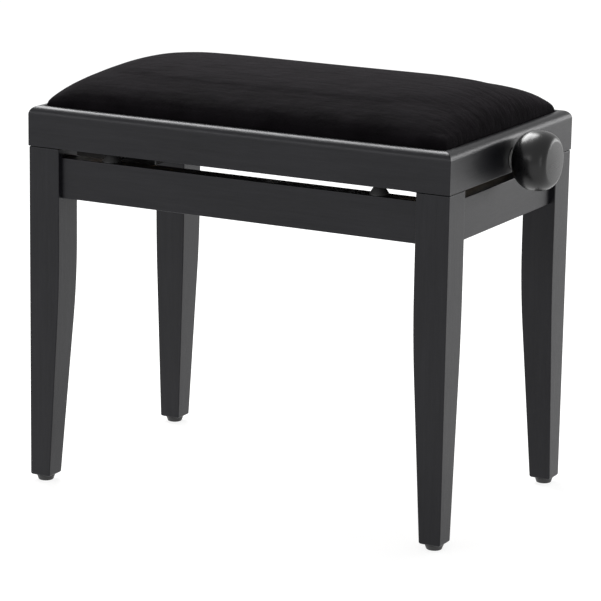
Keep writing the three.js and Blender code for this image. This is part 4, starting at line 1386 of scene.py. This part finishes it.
# ---- Spindle nut --------------------------------------------------------------------------------
# A zinc-plated steel block, bored and tapped for the spindle, with a turned trunnion on each side
# that runs in the slots of the upper rails and carries the ends of the outer arms.
NUT_BORE = 8.3 * MM
NUT_BLOCK_HALF_LENGTH = 13 * MM
NUT_BLOCK_HALF_WIDTH = 15 * MM
NUT_BLOCK_CORNER = 1.5 * MM

trunnion_low, trunnion_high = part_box("spindle_nut")
nut_block = bar(
    "nut_block",
    (nut_middle.x - NUT_BLOCK_HALF_LENGTH, -NUT_BLOCK_HALF_WIDTH, trunnion_low.z),
    (nut_middle.x + NUT_BLOCK_HALF_LENGTH, NUT_BLOCK_HALF_WIDTH, trunnion_high.z))
ease(nut_block, NUT_BLOCK_CORNER, 3)
trunnion = weld("trunnion_nut", [
    nut_block,
    rod_along_y("trunnion", nut_middle.x, trunnion_low.y, trunnion_high.y, nut_middle.z),
])
carve(trunnion, drill(NUT_BORE, nut_middle, along_x, 40 * MM, 48))
fit(trunnion, "spindle_nut", "nut", drawn_rod)

# ---- Studio -------------------------------------------------------------------------------------
# A pale floor that runs on to a white background, broad soft lights from above and from both sides,
# and a long lens a little above the seat, on the knob's side of the front.
FLOOR_SIZE = 24
LENS = 180.49
CAMERA_PLACE = Vector((1.64762, -3.11818, 1.07665))
CAMERA_AZIMUTH = math.radians(28.19)
CAMERA_ELEVATION = math.radians(13.51)
CAMERA_ROLL = math.radians(0.946)

alone()
bpy.ops.mesh.primitive_plane_add(size=FLOOR_SIZE)
floor = named("studio_floor")
pale = Finish("pale_floor")
pale_cloud = pale.noise(pale.place(), 3, 2)
pale.shine({
    "Base Color": pale.blend(pale_cloud, (0.24, 0.24, 0.24, 1), (0.28, 0.28, 0.28, 1)),
    "Roughness": 0.9,
    "Specular IOR Level": 0.1,
    "Emission Color": (1, 1, 1, 1),
    "Emission Strength": 0.8,
})
floor.data.materials.append(pale.material)


def soft_light(name, place, target, width, height, power):
    """A softbox that faces a target."""
    data = bpy.data.lights.new(name, "AREA")
    data.shape = "RECTANGLE"
    data.size = width
    data.size_y = height
    data.energy = power
    lamp = bpy.data.objects.new(name, data)
    lamp.location = place
    lamp.rotation_euler = (Vector(target) - Vector(place)).to_track_quat("-Z", "Y").to_euler()
    bpy.context.scene.collection.objects.link(lamp)
    return lamp


soft_light("key_softbox", (-1.0, 0.75, 2.1), (0, 0, 0.45), 1.4, 1.4, 82)
soft_light("side_softbox", (2.0, 3.4, 0.9), (0, 0, 0.3), 2.0, 1.4, 42)
soft_light("front_panel", (-1.6, -2.9, 1.35), (0, 0, 0.45), 3.0, 0.9, 25)
soft_light("window_strip", (2.4, -1.9, 0.7), (0.25, 0, 0.4), 0.22, 1.6, 5)

world = bpy.data.worlds.new("white_studio")
world.use_nodes = True
world.node_tree.nodes["Background"].inputs["Color"].default_value = (1, 1, 1, 1)
world.node_tree.nodes["Background"].inputs["Strength"].default_value = 0.8
bpy.context.scene.world = world
bpy.context.scene.view_settings.view_transform = "Standard"

forward = Vector((
    -math.sin(CAMERA_AZIMUTH) * math.cos(CAMERA_ELEVATION),
    math.cos(CAMERA_AZIMUTH) * math.cos(CAMERA_ELEVATION),
    -math.sin(CAMERA_ELEVATION)))
level_right = Vector((math.cos(CAMERA_AZIMUTH), math.sin(CAMERA_AZIMUTH), 0))
level_up = level_right.cross(forward)
right = level_right * math.cos(CAMERA_ROLL) + level_up * math.sin(CAMERA_ROLL)
up = level_up * math.cos(CAMERA_ROLL) - level_right * math.sin(CAMERA_ROLL)
camera_data = bpy.data.cameras.new("product_camera")
camera_data.sensor_width = 36
camera_data.lens = LENS
camera_data.clip_end = 60
camera = bpy.data.objects.new("product_camera", camera_data)
facing_bench = Matrix((right, up, -forward)).transposed().to_4x4()
camera.matrix_world = Matrix.Translation(CAMERA_PLACE) @ facing_bench
bpy.context.scene.collection.objects.link(camera)
bpy.context.scene.camera = camera

alone()
